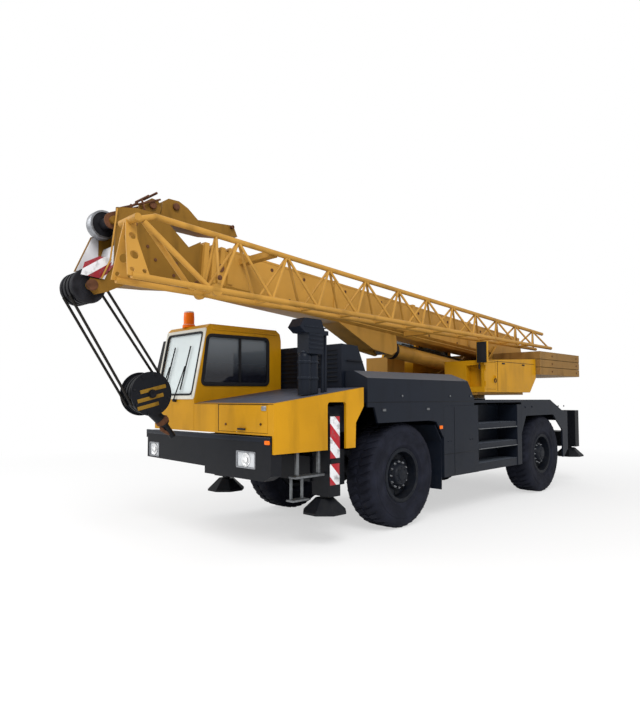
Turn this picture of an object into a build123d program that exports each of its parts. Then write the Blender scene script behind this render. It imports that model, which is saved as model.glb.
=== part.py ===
"""Two-axle mobile crane with a stowed lattice jib, parked on its wheels with the boom lowered.

Millimetres, +X forward, +Y to the crane's left, +Z up.  The origin is on the ground, under the
centre of the whole crane's bounding box.
"""
from build123d import *
import os
from math import cos, sin, radians

os.makedirs("parts", exist_ok=True)

# ---- whole crane ------------------------------------------------------------------------------
half_width = 1250
origin_shift = 170
front_axle_x = 850
wheelbase = 4060
rear_axle_x = front_axle_x - wheelbase
slew_x = -2150

# ---- wheels and axles -------------------------------------------------------------------------
tyre_od = 1340
tyre_width = 445
track = 1990
rim_r = 317
bead_gap = 0.3
kingpin_inset = 175
kingpin_y = track / 2 - kingpin_inset
kingpin_r = 60
spindle_r = 55
axle_z = tyre_od / 2
yoke_rise = 150
axle_tube_r = 95

# ---- carrier frame ----------------------------------------------------------------------------
rail_bottom = 960
rail_top = 1220
rail_out = 430
rail_wall = 130
frame_rear = -4790
frame_front = 2935
pedestal_r = 640
deck_z = 1620
ring_top = 1645
ring_gap = 1

# ---- outriggers -------------------------------------------------------------------------------
front_box_x = 2065
rear_box_x = -4740
beam_pitch = 200
beam_width = 170
beam_height = 230
beam_z = 850
beam_gap = 8
box_wall = 20
jack_y = 1080
jack_r = 52
jack_bore_gap = 6
housing_half_x = 85
housing_in = 965
housing_out = 1245
pad_height = 165
pad_rim = 25
pad_r = 260
pad_boss_r = 110

# ---- front body and cab -----------------------------------------------------------------------
nose_x = 3060
nose_bottom = 1270
side_bottom = 1083
hood_front_z = 1600
hood_rear_z = 1780
hood_rear_x = 1675
panel_t = 30
slot_x0, slot_x1, slot_top = 1985, 2285, 1610
bumper_x = 3075
bumper_top = 1245
bumper_bottom = 900
cab_in_y = -220
cab_out_y = -1130
cab_rear_x = 1690
cab_floor_z = 1270
cab_top_z = 2570
cab_wall = 60
screen_top_x = 2880
screen_foot_z = 1640
glass_t = 8

# ---- boom and superstructure ------------------------------------------------------------------
boom_angle = 4.2
pivot_x = -4100
pivot_z = 2440
boom_low = -86
boom_height = 525
boom_half = 250
boom_wall = 12
boom_tail = -200
base_end = 7050
section_gap = 14
section_wall = 10
side_plate_in = 270
side_plate_t = 35
base_plate_z = 1705
base_plate_t = 40

lift_foot_x = -3150
lift_foot_z = 2140
lift_lug_in = 130

cos_b = cos(radians(boom_angle))
sin_b = sin(radians(boom_angle))


def finish(piece, name):
    """Move one finished sub-part to the crane's centred origin, label it and write its STEP file."""
    placed = piece.part.moved(Location((origin_shift, 0, 0)))
    placed.label = name
    export_step(placed, f"parts/{name}.step")


def side(y):
    """Sketch plane seen from the crane's right: local x forward, local y up; extrudes to -Y."""
    return Plane(origin=(0, y, 0), x_dir=(1, 0, 0), z_dir=(0, -1, 0))


def front(x):
    """Sketch plane across the crane: local x to the left, local y up; extrudes to +X."""
    return Plane(origin=(x, 0, 0), x_dir=(0, 1, 0), z_dir=(1, 0, 0))


def boom_side(y):
    """Side plane turned with the boom: local x along the boom from its foot pin, y square to it."""
    return Plane(origin=(pivot_x, y, pivot_z), x_dir=(cos_b, 0, sin_b), z_dir=(0, -1, 0))


def boom_across(u):
    """Plane square to the boom, u along it: local x to the left, local y up."""
    origin = (pivot_x + u * cos_b, 0, pivot_z + u * sin_b)
    return Plane(origin=origin, x_dir=(0, 1, 0), z_dir=(cos_b, 0, sin_b))


def boom_point(u, y, v):
    """Crane coordinates of a point given along, across and square to the boom."""
    return (pivot_x + u * cos_b - v * sin_b, y, pivot_z + u * sin_b + v * cos_b)


def outline(plane, points, radius=0):
    """Closed face through the points on a plane, its corners rounded if a radius is given."""
    with BuildSketch(plane) as sketch:
        with BuildLine():
            if radius:
                FilletPolyline(*points, radius=radius, close=True)
            else:
                Polyline(*points, close=True)
        make_face()
    return sketch.sketch


def rect(plane, x0, x1, y0, y1, radius=0):
    """Rectangle on a plane between two corners."""
    return outline(plane, [(x0, y0), (x1, y0), (x1, y1), (x0, y1)], radius)


def block(x0, x1, y0, y1, z0, z1, mode=Mode.ADD):
    """Box between two corners."""
    with Locations(((x0 + x1) / 2, (y0 + y1) / 2, (z0 + z1) / 2)):
        Box(abs(x1 - x0), abs(y1 - y0), abs(z1 - z0), mode=mode)


def rod(start, end, r, mode=Mode.ADD):
    """Round bar between two points."""
    start, end = Vector(*start), Vector(*end)
    with BuildSketch(Plane(origin=start, z_dir=end - start)) as disc:
        Circle(r)
    extrude(disc.sketch, amount=(end - start).length, mode=mode)


corners = [("front_left", front_axle_x, 1), ("front_right", front_axle_x, -1),
           ("rear_left", rear_axle_x, 1), ("rear_right", rear_axle_x, -1)]

# ==== wheels: tyre, rim and knuckle at each corner ==============================================
half_tyre = tyre_width / 2
tyre_r = tyre_od / 2
tread_half = half_tyre - 20
bead_half = 165
flange_r = 345
for corner, wheel_x, hand in corners:
    wheel_y = hand * track / 2
    spin = Axis((wheel_x, 0, axle_z), (0, 1, 0))
    across = Plane(origin=(wheel_x, wheel_y, axle_z), x_dir=(0, hand, 0), z_dir=(hand, 0, 0))
    with BuildPart() as tyre:
        half = [(bead_half, rim_r + bead_gap), (bead_half + 8, flange_r), (bead_half + 40, 400),
                (half_tyre - 5, 460), (half_tyre, 520), (half_tyre - 6, 580), (tread_half, tyre_r - 35),
                (tread_half - 35, tyre_r - 5), (60, tyre_r)]
        with BuildSketch(across):
            with BuildLine():
                Polyline(*half, *[(-w, r) for w, r in reversed(half)], close=True)
            make_face()
        revolve(axis=spin)
    finish(tyre, f"tyre_{corner}")

    with BuildPart() as rim:
        with BuildSketch(across):
            with BuildLine():
                Polyline((14, rim_r - 18), (14, 262), (48, 240), (48, 0), (180, 0), (180, 118),
                         (165, 130), (115, 150), (115, 180), (72, 195), (72, 262), (44, rim_r - 18),
                         (bead_half + 22, rim_r - 18), (bead_half + 22, flange_r),
                         (bead_half + 8.5, flange_r), (bead_half + 0.5, rim_r), (-bead_half - 0.5, rim_r),
                         (-bead_half - 8.5, flange_r), (-bead_half - 22, flange_r),
                         (-bead_half - 22, rim_r - 18), close=True)
            make_face()
        revolve(axis=spin)
    finish(rim, f"rim_{corner}")

    arm_x = -1 if wheel_x == front_axle_x else 1
    with BuildPart() as knuckle:
        with Locations((wheel_x, hand * kingpin_y, axle_z)):
            Cylinder(kingpin_r, 2 * yoke_rise - 4)
        rod((wheel_x, hand * kingpin_y, axle_z), (wheel_x, hand * (track / 2 + 40), axle_z), spindle_r)
        rod((wheel_x, hand * (kingpin_y + 90), axle_z), (wheel_x, hand * (kingpin_y + 150), axle_z), 200)
        block(wheel_x + arm_x * 40, wheel_x + arm_x * 250, hand * (kingpin_y - 20),
              hand * (kingpin_y + 30), axle_z - 85, axle_z - 45)
    finish(knuckle, f"knuckle_{corner}")

# ==== axles: tube, differential bowl, forked ends and suspension struts =========================
strut_y = 495
strut_r = 50
fork_y0, fork_y1 = kingpin_y - 120, kingpin_y - 80
with BuildPart() as axles:
    for wheel_x in (front_axle_x, rear_axle_x):
        rod((wheel_x, -fork_y0 - 20, axle_z), (wheel_x, fork_y0 + 20, axle_z), axle_tube_r)
        with Locations((wheel_x, 60, axle_z)):
            Sphere(200)
        rod((wheel_x, 60, axle_z), (wheel_x + (-300 if wheel_x > 0 else 300), 60, axle_z + 40), 90)
        for hand in (1, -1):
            block(wheel_x - 65, wheel_x + 65, hand * fork_y0, hand * fork_y1, axle_z - 195, axle_z + 195)
            for level in (yoke_rise, -yoke_rise - 45):
                block(wheel_x - 65, wheel_x + 65, hand * fork_y0, hand * (kingpin_y + 60),
                      axle_z + level, axle_z + level + 45)
            rod((wheel_x, hand * strut_y, axle_z), (wheel_x, hand * strut_y, rail_bottom + 160), strut_r)
finish(axles, "axles")

# ==== carrier frame: rails, cross members, outrigger boxes, pedestal and slewing ring ============
with BuildPart() as chassis:
    for hand in (1, -1):
        block(frame_rear, frame_front, hand * (rail_out - rail_wall), hand * rail_out,
              rail_bottom, rail_top)
        for wheel_x in (front_axle_x, rear_axle_x):
            block(wheel_x - 80, wheel_x + 80, hand * rail_out, hand * (strut_y + 75),
                  rail_bottom + 160, rail_top)
    for member_x in (frame_rear + 60, -2600, -1200, 0, 1500, frame_front - 60):
        block(member_x - 60, member_x + 60, -rail_out + rail_wall, rail_out - rail_wall,
              rail_bottom + 20, rail_top)
    with Locations((slew_x, 0, (rail_top - 20 + deck_z) / 2)):
        Cylinder(pedestal_r, deck_z - rail_top + 20)
    with Locations((slew_x, 0, (deck_z + ring_top) / 2)):
        Cylinder(pedestal_r - 40, ring_top - deck_z)
    block(frame_rear, 1500, -rail_out, rail_out, rail_top - 12, rail_top)
    half_box_x = beam_pitch / 2 + beam_width / 2 + beam_gap + box_wall
    half_box_z = beam_height / 2 + beam_gap + box_wall
    for box_x in (front_box_x, rear_box_x):
        block(box_x - half_box_x, box_x + half_box_x, -housing_in + 10, housing_in - 10,
              beam_z - half_box_z, beam_z + half_box_z)
        for hand in (1, -1):
            block(box_x + hand * beam_pitch / 2 - beam_width / 2 - beam_gap,
                  box_x + hand * beam_pitch / 2 + beam_width / 2 + beam_gap, -housing_in, housing_in,
                  beam_z - beam_height / 2 - beam_gap, beam_z + beam_height / 2 + beam_gap, Mode.SUBTRACT)
        block(box_x - half_box_x, box_x + half_box_x, -rail_out, rail_out,
              beam_z + half_box_z - 1, rail_bottom + 60)
    for hand in (1, -1):
        block(front_box_x - half_box_x - 160, front_box_x - half_box_x + 2, hand * rail_out,
              hand * (housing_in - 15), 620, 1040)
finish(chassis, "chassis_frame")

# ==== outriggers: a sliding beam with a jack housing, and a jack leg with its pad, four times ====
# columns: corner, middle of the box, side of the crane, top of the jack, foot of housing and pad
outriggers = [("front_left", front_box_x, 1, 1430, 560, 365),
              ("front_right", front_box_x, -1, 1200, 560, 365),
              ("rear_left", rear_box_x, 1, 1370, 710, 520),
              ("rear_right", rear_box_x, -1, 1370, 710, 520)]
for corner, box_x, hand, jack_top, housing_low, pad_low in outriggers:
    beam_x = box_x + hand * beam_pitch / 2
    with BuildPart() as beam:
        block(beam_x - beam_width / 2, beam_x + beam_width / 2, -hand * (housing_in - 40),
              hand * (housing_in + 10), beam_z - beam_height / 2, beam_z + beam_height / 2)
        block(beam_x - housing_half_x, beam_x + housing_half_x, hand * housing_in,
              hand * housing_out, housing_low, jack_top + 40)
        with Locations((beam_x, hand * jack_y, (housing_low + jack_top) / 2)):
            Cylinder(jack_r + jack_bore_gap, jack_top - housing_low + 10, mode=Mode.SUBTRACT)
    finish(beam, f"outrigger_beam_{corner}")
    with BuildPart() as jack:
        rod((beam_x, hand * jack_y, pad_low + pad_height - 5), (beam_x, hand * jack_y, jack_top - 20), jack_r)
        with BuildSketch(Plane.XY.offset(pad_low + pad_rim)) as foot:
            with Locations((beam_x, hand * jack_y)):
                RegularPolygon(pad_r, 8, rotation=22.5)
        with BuildSketch(Plane.XY.offset(pad_low + pad_height)) as boss:
            with Locations((beam_x, hand * jack_y)):
                RegularPolygon(pad_boss_r, 8, rotation=22.5)
        loft([foot.sketch, boss.sketch])
        extrude(foot.sketch, amount=-pad_rim)
    finish(jack, f"outrigger_jack_{corner}")

# ==== front bodywork: nose with the left side panel, hood deck, locker lid =======================
deck_slope = (hood_rear_z - hood_front_z) / (nose_x - hood_rear_x)


def hood_z(x):
    """Height of the sloping hood over the front bodywork."""
    return hood_front_z + (nose_x - x) * deck_slope


left_panel = [(nose_x, side_bottom), (nose_x, hood_front_z), (hood_rear_x, hood_rear_z),
              (hood_rear_x, 1560), (1815, 1370), (1826, side_bottom)]
locker_y0, locker_y1, locker_z0 = 285, 1150, 1290
locker_z1 = hood_front_z - 12
with BuildPart() as nose:
    extrude(outline(side(half_width), left_panel), amount=panel_t)
    extrude(rect(side(half_width + 5), slot_x0, slot_x1, side_bottom - 60, slot_top, 40),
            amount=panel_t + 10, mode=Mode.SUBTRACT)
    block(nose_x - panel_t, nose_x, cab_in_y + 6, half_width - 1, nose_bottom, hood_front_z)
    block(nose_x - panel_t - 5, nose_x + 5, locker_y0, locker_y1, locker_z0, locker_z1, Mode.SUBTRACT)
    deck_front = nose_x - panel_t
    deck_line = [(deck_front, hood_z(deck_front)), (hood_rear_x, hood_rear_z),
                 (hood_rear_x, hood_rear_z - panel_t), (deck_front, hood_z(deck_front) - panel_t)]
    extrude(outline(side(half_width - 1), deck_line), amount=half_width - 1 - cab_in_y - 6)
finish(nose, "nose_panels")

with BuildPart() as lid:
    block(nose_x - panel_t, nose_x, locker_y0 + 5, locker_y1 - 5, locker_z0 + 5, locker_z1 - 5)
    block(nose_x - 1, nose_x + 14, 690, 770, locker_z0 + 30, locker_z0 + 50)
finish(lid, "locker_lid")

cover_half = 870
cover_t = 30
with BuildPart() as engine_cover:
    skin = [(1185, 1565), (1185, 1975), (1350, 2318), (1650, 2330), (1650, 1565)]
    extrude(outline(side(cover_half), skin), amount=2 * cover_half)
    hollow = [(1215, 1560), (1215, 1968), (1370, 2288), (1620, 2300), (1620, 1560)]
    extrude(outline(side(cover_half - cover_t), hollow),
            amount=2 * cover_half - 2 * cover_t, mode=Mode.SUBTRACT)
finish(engine_cover, "engine_cover")

with BuildPart() as engine:
    block(1230, 2150, 40, 700, 1225, 1550)
    block(1240, 1600, 40, 700, 1550, 1900)
finish(engine, "engine_block")

with BuildPart() as stack:
    stack_x, stack_y = 2330, 1040
    for tube_x in (stack_x, stack_x + 110):
        rod((tube_x, stack_y, hood_z(tube_x - 75) + 2), (tube_x, stack_y, 2110), 75)
        with Locations((tube_x, stack_y, 2110)):
            Sphere(75)
    block(stack_x - 90, stack_x + 130, stack_y - 95, stack_y + 95, 2150, 2420)
    hat = [(stack_x - 130, 2380), (stack_x + 190, 2380), (stack_x + 270, 2440), (stack_x + 200, 2540),
           (stack_x - 60, 2540)]
    extrude(outline(side(stack_y + 100), hat), amount=200)
    for pipe_x in (stack_x - 200, stack_x - 150):
        rod((pipe_x, stack_y + 20, hood_z(pipe_x - 18) + 2), (pipe_x, stack_y + 20, 2400), 18)
    block(stack_x - 225, stack_x - 80, stack_y - 10, stack_y + 50, 2375, 2425)
finish(stack, "intake_stack")

# ==== bumper and lamps ===========================================================================
headlamps = [(805, 165), (-1110, 120)]
with BuildPart() as bumper:
    face = [(-1285, bumper_bottom), (-1285, 1150), (-1315, 1150), (-1315, bumper_top),
            (half_width - 32, bumper_top), (half_width - 32, 860), (1100, 800), (40, 800), (40, 880)]
    extrude(outline(front(bumper_x - 140), face), amount=140)
    for lamp_y, lamp_half in headlamps:
        block(bumper_x - 60, bumper_x + 5, lamp_y - lamp_half, lamp_y + lamp_half, 915, 1095, Mode.SUBTRACT)
finish(bumper, "front_bumper")

beacon_x, beacon_y = 2790, -770
with BuildPart() as lamps:
    for lamp_y, lamp_half in headlamps:
        block(bumper_x - 60, bumper_x - 8, lamp_y - lamp_half + 5, lamp_y + lamp_half - 5, 920, 1090)
    rod((beacon_x, beacon_y, cab_top_z), (beacon_x, beacon_y, cab_top_z + 40), 75)
    rod((beacon_x, beacon_y, cab_top_z + 40), (beacon_x, beacon_y, cab_top_z + 210), 62)
finish(lamps, "lamps")

# ==== carrier cab: shell with its windows cut, glass, interior, door, mirror, beacon =============
cab_side = [(nose_x, cab_floor_z), (nose_x, screen_foot_z), (screen_top_x, cab_top_z - 45),
            (screen_top_x - 45, cab_top_z), (cab_rear_x + 90, cab_top_z), (cab_rear_x + 20, cab_top_z - 50),
            (cab_rear_x, cab_top_z - 140), (cab_rear_x, cab_floor_z)]
cab_inner = [(nose_x - 50, cab_floor_z + 40), (nose_x - 50, screen_foot_z - 10),
             (screen_top_x - 55, cab_top_z - 80), (screen_top_x - 80, cab_top_z - 50),
             (cab_rear_x + 120, cab_top_z - 50), (cab_rear_x + 70, cab_top_z - 120),
             (cab_rear_x + 60, cab_top_z - 160), (cab_rear_x + 60, cab_floor_z + 40)]
side_window = [(1920, 1835), (2950, 1825), (2868, 2430), (1920, 2440)]
cab_mid_y = (cab_in_y + cab_out_y) / 2
cab_width = cab_in_y - cab_out_y
screen = Plane(origin=(nose_x, cab_mid_y, screen_foot_z), x_dir=(0, 1, 0),
               z_dir=(cab_top_z - 45 - screen_foot_z, 0, nose_x - screen_top_x))
screen_height = Vector(nose_x - screen_top_x, 0, cab_top_z - 45 - screen_foot_z).length
door_x0, door_x1, door_z0, door_z1 = 1880, 2990, 1330, 2470
door_line = [(door_x0, door_z0), (door_x1, door_z0), (door_x1, 1650), (2865, door_z1), (door_x0, door_z1)]
door_hole = [(door_x0 - 6, door_z0 - 6), (door_x1 + 6, door_z0 - 6), (door_x1 + 6, 1652),
             (2871, door_z1 + 6), (door_x0 - 6, door_z1 + 6)]
screen_sheet = (-cab_width / 2 + 60, cab_width / 2 - 45, 30, screen_height - 25, 60)
rear_sheet = (cab_out_y + 130, cab_in_y - 130, 1900, 2380, 40)
with BuildPart() as cab:
    extrude(outline(side(cab_in_y), cab_side), amount=cab_width)
    extrude(outline(side(cab_in_y - cab_wall), cab_inner), amount=cab_width - 2 * cab_wall,
            mode=Mode.SUBTRACT)
    extrude(outline(side(cab_in_y + 5), side_window, 50), amount=cab_wall + 10, mode=Mode.SUBTRACT)
    extrude(rect(screen.offset(20), *screen_sheet), amount=-120, mode=Mode.SUBTRACT)
    extrude(rect(front(cab_rear_x - 5), *rear_sheet), amount=cab_wall + 10, mode=Mode.SUBTRACT)
    extrude(outline(side(cab_out_y + cab_wall + 5), door_hole), amount=cab_wall + 10, mode=Mode.SUBTRACT)
finish(cab, "cab_shell")

with BuildPart() as cab_glass:
    extrude(outline(side(cab_in_y - 20), side_window, 50), amount=glass_t)
    extrude(rect(screen.offset(-12), *screen_sheet), amount=-glass_t)
    extrude(rect(front(cab_rear_x + 20), *rear_sheet), amount=glass_t)
finish(cab_glass, "cab_glass")

door_window = [(door_x0 + 90, 1835), (2900, 1830), (2830, door_z1 - 80), (door_x0 + 90, door_z1 - 80)]
with BuildPart() as cab_door:
    extrude(outline(side(cab_out_y + cab_wall), door_line), amount=cab_wall)
    extrude(outline(side(cab_out_y + cab_wall + 5), door_window, 45), amount=cab_wall + 10,
            mode=Mode.SUBTRACT)
    extrude(rect(side(cab_out_y + cab_wall + 5), door_x0 + 60, 2900, door_z0 + 60, 1780, 30),
            amount=cab_wall - 20, mode=Mode.SUBTRACT)
finish(cab_door, "cab_door")

with BuildPart() as door_glass:
    extrude(outline(side(cab_out_y + 30), door_window, 45), amount=glass_t)
finish(door_glass, "cab_door_glass")

with BuildPart() as cab_interior:
    seat_y = cab_mid_y
    block(1900, 2350, seat_y - 240, seat_y + 240, cab_floor_z + 40, 1720)
    backrest = [(1900, 1720), (2030, 1720), (1940, 2330), (1830, 2330)]
    extrude(outline(side(seat_y + 230), backrest, 20), amount=460)
    dash = [(3000, cab_floor_z + 40), (3000, 1640), (2800, 1700), (2720, 1640), (2860, cab_floor_z + 40)]
    extrude(outline(side(cab_in_y - cab_wall - 10), dash), amount=cab_width - 2 * cab_wall - 20)
    rod((2740, seat_y, 1600), (2600, seat_y, 1790), 25)
    rod((2600, seat_y, 1790), (2585, seat_y, 1810), 210)
finish(cab_interior, "cab_interior")

mirror_side = [(2800, 2415), (2880, 2420), (2980, 2010), (2840, 1975)]
with BuildPart() as door_mirror:
    for arm_x, arm_z in ((2894, 2100), (2867, 2290)):
        rod((arm_x, cab_out_y, arm_z), (arm_x, cab_out_y - 50, arm_z), 12)
    extrude(outline(side(cab_out_y - 35), mirror_side), amount=85)
finish(door_mirror, "cab_mirror")

# ==== side bodywork: hoods over the front wheels, lockers with steps, rear wings ================
hood_in = 880
hood_top = 2000
hood_edge_z = 1895
hood_bend_y = 1010
skin_t = 25
arch_z = 1352
skirt_bottom = 560
with BuildPart() as hoods:
    for y0 in (half_width - skin_t, -hood_in):
        shell = [(1607, 1600), (1607, hood_top - 10), (-590, hood_top), (-818, 1650), (-818, 1600)]
        extrude(outline(side(y0), shell), amount=half_width - skin_t - hood_in)
        hollow = [(1577, 1590), (1577, 1860), (-640, 1865), (-785, 1640), (-785, 1590)]
        extrude(outline(side(y0 - 30), hollow), amount=half_width - skin_t - hood_in - 60,
                mode=Mode.SUBTRACT)
    for y0 in (half_width, -half_width + skin_t):
        panel = [(1607, 1545), (1607, hood_edge_z + 40), (-620, hood_edge_z + 40), (-818, 1650), (-818, 1545),
                 (-10, 1545), (-10, 1100), (170, arch_z - 20), (330, arch_z), (1415, arch_z), (1480, 1545)]
        extrude(outline(side(y0), panel), amount=skin_t)
    for hand in (1, -1):
        fall = [(hand * (half_width + 1), hood_edge_z), (hand * (half_width + 1), hood_top + 10),
                (hand * (hood_bend_y - 30), hood_top + 10), (hand * hood_bend_y, hood_top)]
        extrude(outline(front(-900), fall), amount=2600, mode=Mode.SUBTRACT)
    for y0 in (half_width - skin_t - 2, -hood_in + 80):
        flap = [(-6, 1060), (160, 1290), (168, 1280), (8, 1050), (35, 400), (15, 400)]
        extrude(outline(side(y0), flap), amount=half_width - hood_in + 68 - skin_t)
finish(hoods, "front_hoods")

locker_front = -12
bay_x0, bay_x1 = -2170, -930
steps = [(1190, 1270), (890, 970), (skirt_bottom, 680)]
with BuildPart() as lockers:
    for hand in (1, -1):
        block(bay_x1, locker_front, hand * hood_in, hand * half_width, skirt_bottom, 1543)
        block(bay_x0 - 150, bay_x0, hand * hood_in, hand * half_width, skirt_bottom, 1543)
        block(bay_x0, bay_x1, hand * hood_in, hand * (hood_in + 20), skirt_bottom, 1543)
        for step_low, step_high in steps:
            block(bay_x0, bay_x1, hand * (hood_in + 20), hand * (half_width - 10), step_high - 45, step_high)
            block(bay_x0, bay_x1, hand * (half_width - 35), hand * (half_width - 10), step_low, step_high)
        block(-900, -300, hand * rail_out, hand * hood_in, 1000, 1200)
        block(-2300, -2180, hand * rail_out, hand * hood_in, 1000, 1200)
finish(lockers, "side_lockers")

with BuildPart() as deck:
    block(-830, 1180, 1 - hood_in, hood_in - 1, deck_z - 40, deck_z)
    plate = [(-820, deck_z), (-3440, deck_z), (-3960, 1415), (-3960, 1380), (-3440, deck_z - 40),
             (-820, deck_z - 40)]
    extrude(outline(side(half_width), plate), amount=2 * half_width)
    with Locations((slew_x, 0, deck_z - 20)):
        Cylinder(pedestal_r + 1, 60, mode=Mode.SUBTRACT)
    for y0 in (half_width, -half_width + skin_t):
        wing = [(-2322, deck_z - 38), (-2322, 1060), (-2490, arch_z), (-3560, arch_z), (-3950, 1060),
                (-3950, 560), (-3990, 560), (-4180, 700), (-4180, 1400), (-3960, 1415),
                (-3440, deck_z - 38)]
        extrude(outline(side(y0), wing), amount=skin_t)
    for support_x in (1100, -700, -3300):
        block(support_x - 20, support_x + 20, -rail_out + 30, rail_out - 30, rail_top, deck_z - 39)
    block(-4180, -4150, -half_width + skin_t, half_width - skin_t, 1225, 1380)
    tail = [(-3960, 1400), (-4180, 1390), (-4180, 1360), (-3960, 1370)]
    extrude(outline(side(half_width - skin_t), tail), amount=2 * half_width - 2 * skin_t)
finish(deck, "rear_deck")

# ==== superstructure: turntable frame, counterweight, winch, equipment box, operator's cab =======
with BuildPart() as turntable:
    with Locations((slew_x, 0, (ring_top + ring_gap + base_plate_z) / 2)):
        Cylinder(pedestal_r - 50, base_plate_z - ring_top - ring_gap)
    block(-3150, -1150, -420, 420, base_plate_z, base_plate_z + base_plate_t)
    block(-2900, -1330, -1100, 1000, base_plate_z, base_plate_z + base_plate_t)
    block(-1370, -890, -900, -430, base_plate_z, 2350)
    for y0 in (side_plate_in + side_plate_t, -side_plate_in):
        plate = [(-1150, base_plate_z + 30), (-1150, 1850), (-2000, 2040), (-3050, 2420), (-3300, 2640),
                 (-3900, 2700), (-4260, 2700), (-4330, 2420), (-4200, 2060), (-3215, 2020),
                 (-3160, base_plate_z + 30)]
        extrude(outline(side(y0), plate), amount=side_plate_t)
    pin_y = side_plate_in + side_plate_t + 20
    rod((pivot_x, -pin_y, pivot_z), (pivot_x, pin_y, pivot_z), 55)
    block(-4180, -3820, -side_plate_in, side_plate_in, 2060, 2095)
    for y0 in (lift_lug_in + 40, -lift_lug_in):
        lug = [(-2900, base_plate_z + 30), (-3040, 2230), (-3250, 2230), (-3250, 2020),
               (-3140, base_plate_z + 30)]
        extrude(outline(side(y0), lug), amount=40)
    rod((lift_foot_x, -lift_lug_in - 50, lift_foot_z), (lift_foot_x, lift_lug_in + 50, lift_foot_z), 45)
    block(-1200, -1170, -side_plate_in, side_plate_in, base_plate_z + 30, 1850)
finish(turntable, "turntable_frame")

cw_out = 1225
cw_front = -3115
cw_rear = -5015
cw_corner = 150
cw_slabs = [(2065, 2195), (2205, 2335), (2345, 2480)]
with BuildPart() as counterweight:
    for slab_low, slab_high in cw_slabs:
        slab = [(cw_front, 330), (cw_front, cw_out), (cw_rear + cw_corner, cw_out),
                (cw_rear + 45, cw_out - 45), (cw_rear, cw_out - cw_corner), (cw_rear, 330)]
        extrude(outline(Plane.XY.offset(slab_low), slab), amount=slab_high - slab_low)
    block(cw_rear, -4640, 0, 330, 2100, 2475)
    block(cw_rear + 10, cw_front - 10, 331, cw_out - 150, 2100, 2470)
    mirror(about=Plane.XZ)
finish(counterweight, "counterweight")

with BuildPart() as winch:
    winch_x, winch_z = -3600, 2185
    rod((winch_x, -200, winch_z), (winch_x, 200, winch_z), 105)
    for cheek_y in (-225, 200):
        rod((winch_x, cheek_y, winch_z), (winch_x, cheek_y + 25, winch_z), 150)
    for cheek_y in (-269, 225):
        rod((winch_x, cheek_y, winch_z), (winch_x, cheek_y + 44, winch_z), 80)
finish(winch, "winch")

box_in, box_out = 430, 1150
box_low = base_plate_z + base_plate_t
box_side = [(-1310, box_low), (-1310, 2246), (-3095, 2337), (-3100, 1997), (-2862, box_low)]
with BuildPart() as equipment:
    extrude(outline(side(box_out), box_side), amount=box_out - box_in)
    block(-1440, -1300, 830, 1095, 1830, 2170, Mode.SUBTRACT)
    doorway = [(-1330, 1790), (-1330, 2205), (-1675, 2222), (-1675, 1790)]
    extrude(outline(side(box_out + 5), doorway), amount=45, mode=Mode.SUBTRACT)
    rod((-1345, box_out - 60, 2230), (-1260, box_out - 60, 2300), 14)
    block(-1280, -1235, 1060, 1240, 2195, 2530)
finish(equipment, "equipment_box")

with BuildPart() as box_door:
    leaf = [(-1335, 1795), (-1335, 2199), (-1670, 2216), (-1670, 1795)]
    extrude(outline(side(box_out), leaf), amount=34)
    block(-1645, -1630, box_out, box_out + 22, 1930, 2010)
finish(box_door, "equipment_door")

op_in, op_out = -430, -1180
op_front, op_rear = -1620, -2850
op_floor = base_plate_z + base_plate_t
op_sill = 2290
op_top = 3060
op_wall = 40
op_rake = 220
op_mid = (op_in + op_out) / 2
op_side = [(op_front, op_floor), (op_front, op_sill), (op_front - op_rake, op_top - 40),
           (op_front - op_rake - 40, op_top), (op_rear + 40, op_top), (op_rear, op_top - 40),
           (op_rear, op_floor)]
op_inner = [(op_front - 40, op_floor + 30), (op_front - 40, op_sill), (op_front - op_rake - 35, op_top - 55),
            (op_front - op_rake - 60, op_top - 40), (op_rear + 55, op_top - 40), (op_rear + 40, op_top - 55),
            (op_rear + 40, op_floor + 30)]
op_window = [(op_front - 110, op_sill + 20), (op_front - 300, op_top - 90), (op_rear + 90, op_top - 90),
             (op_rear + 90, op_sill + 20)]
op_screen = Plane(origin=(op_front, op_mid, op_sill), x_dir=(0, 1, 0),
                  z_dir=(op_top - 40 - op_sill, 0, op_rake))
op_half = (op_in - op_out) / 2
op_screen_h = Vector(op_rake, 0, op_top - 40 - op_sill).length
op_sheet = (45 - op_half, op_half - 45, 25, op_screen_h - 40)
op_rear_sheet = (op_out + 60, op_in - 60, op_sill + 20, op_top - 90)
op_door_line = [(op_front - 120, op_floor + 60), (op_front - 100, op_sill), (op_front - 290, op_top - 75),
                (op_rear + 220, op_top - 75), (op_rear + 220, op_floor + 60)]
op_doorway = [(op_front - 114, op_floor + 54), (op_front - 94, op_sill), (op_front - 284, op_top - 69),
              (op_rear + 214, op_top - 69), (op_rear + 214, op_floor + 54)]
op_door_window = [(op_front - 170, 2250), (op_front - 340, op_top - 130), (op_rear + 280, op_top - 130),
                  (op_rear + 280, 2250)]
with BuildPart() as operator_cab:
    extrude(outline(side(op_in), op_side), amount=op_in - op_out)
    extrude(outline(side(op_in - op_wall), op_inner), amount=op_in - op_out - 2 * op_wall, mode=Mode.SUBTRACT)
    extrude(outline(side(op_in + 5), op_window), amount=op_wall + 10, mode=Mode.SUBTRACT)
    extrude(rect(op_screen.offset(20), *op_sheet), amount=-100, mode=Mode.SUBTRACT)
    extrude(rect(front(op_rear - 5), *op_rear_sheet), amount=op_wall + 10, mode=Mode.SUBTRACT)
    extrude(outline(side(op_out + op_wall + 5), op_doorway), amount=op_wall + 10, mode=Mode.SUBTRACT)
finish(operator_cab, "operator_cab")

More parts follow.
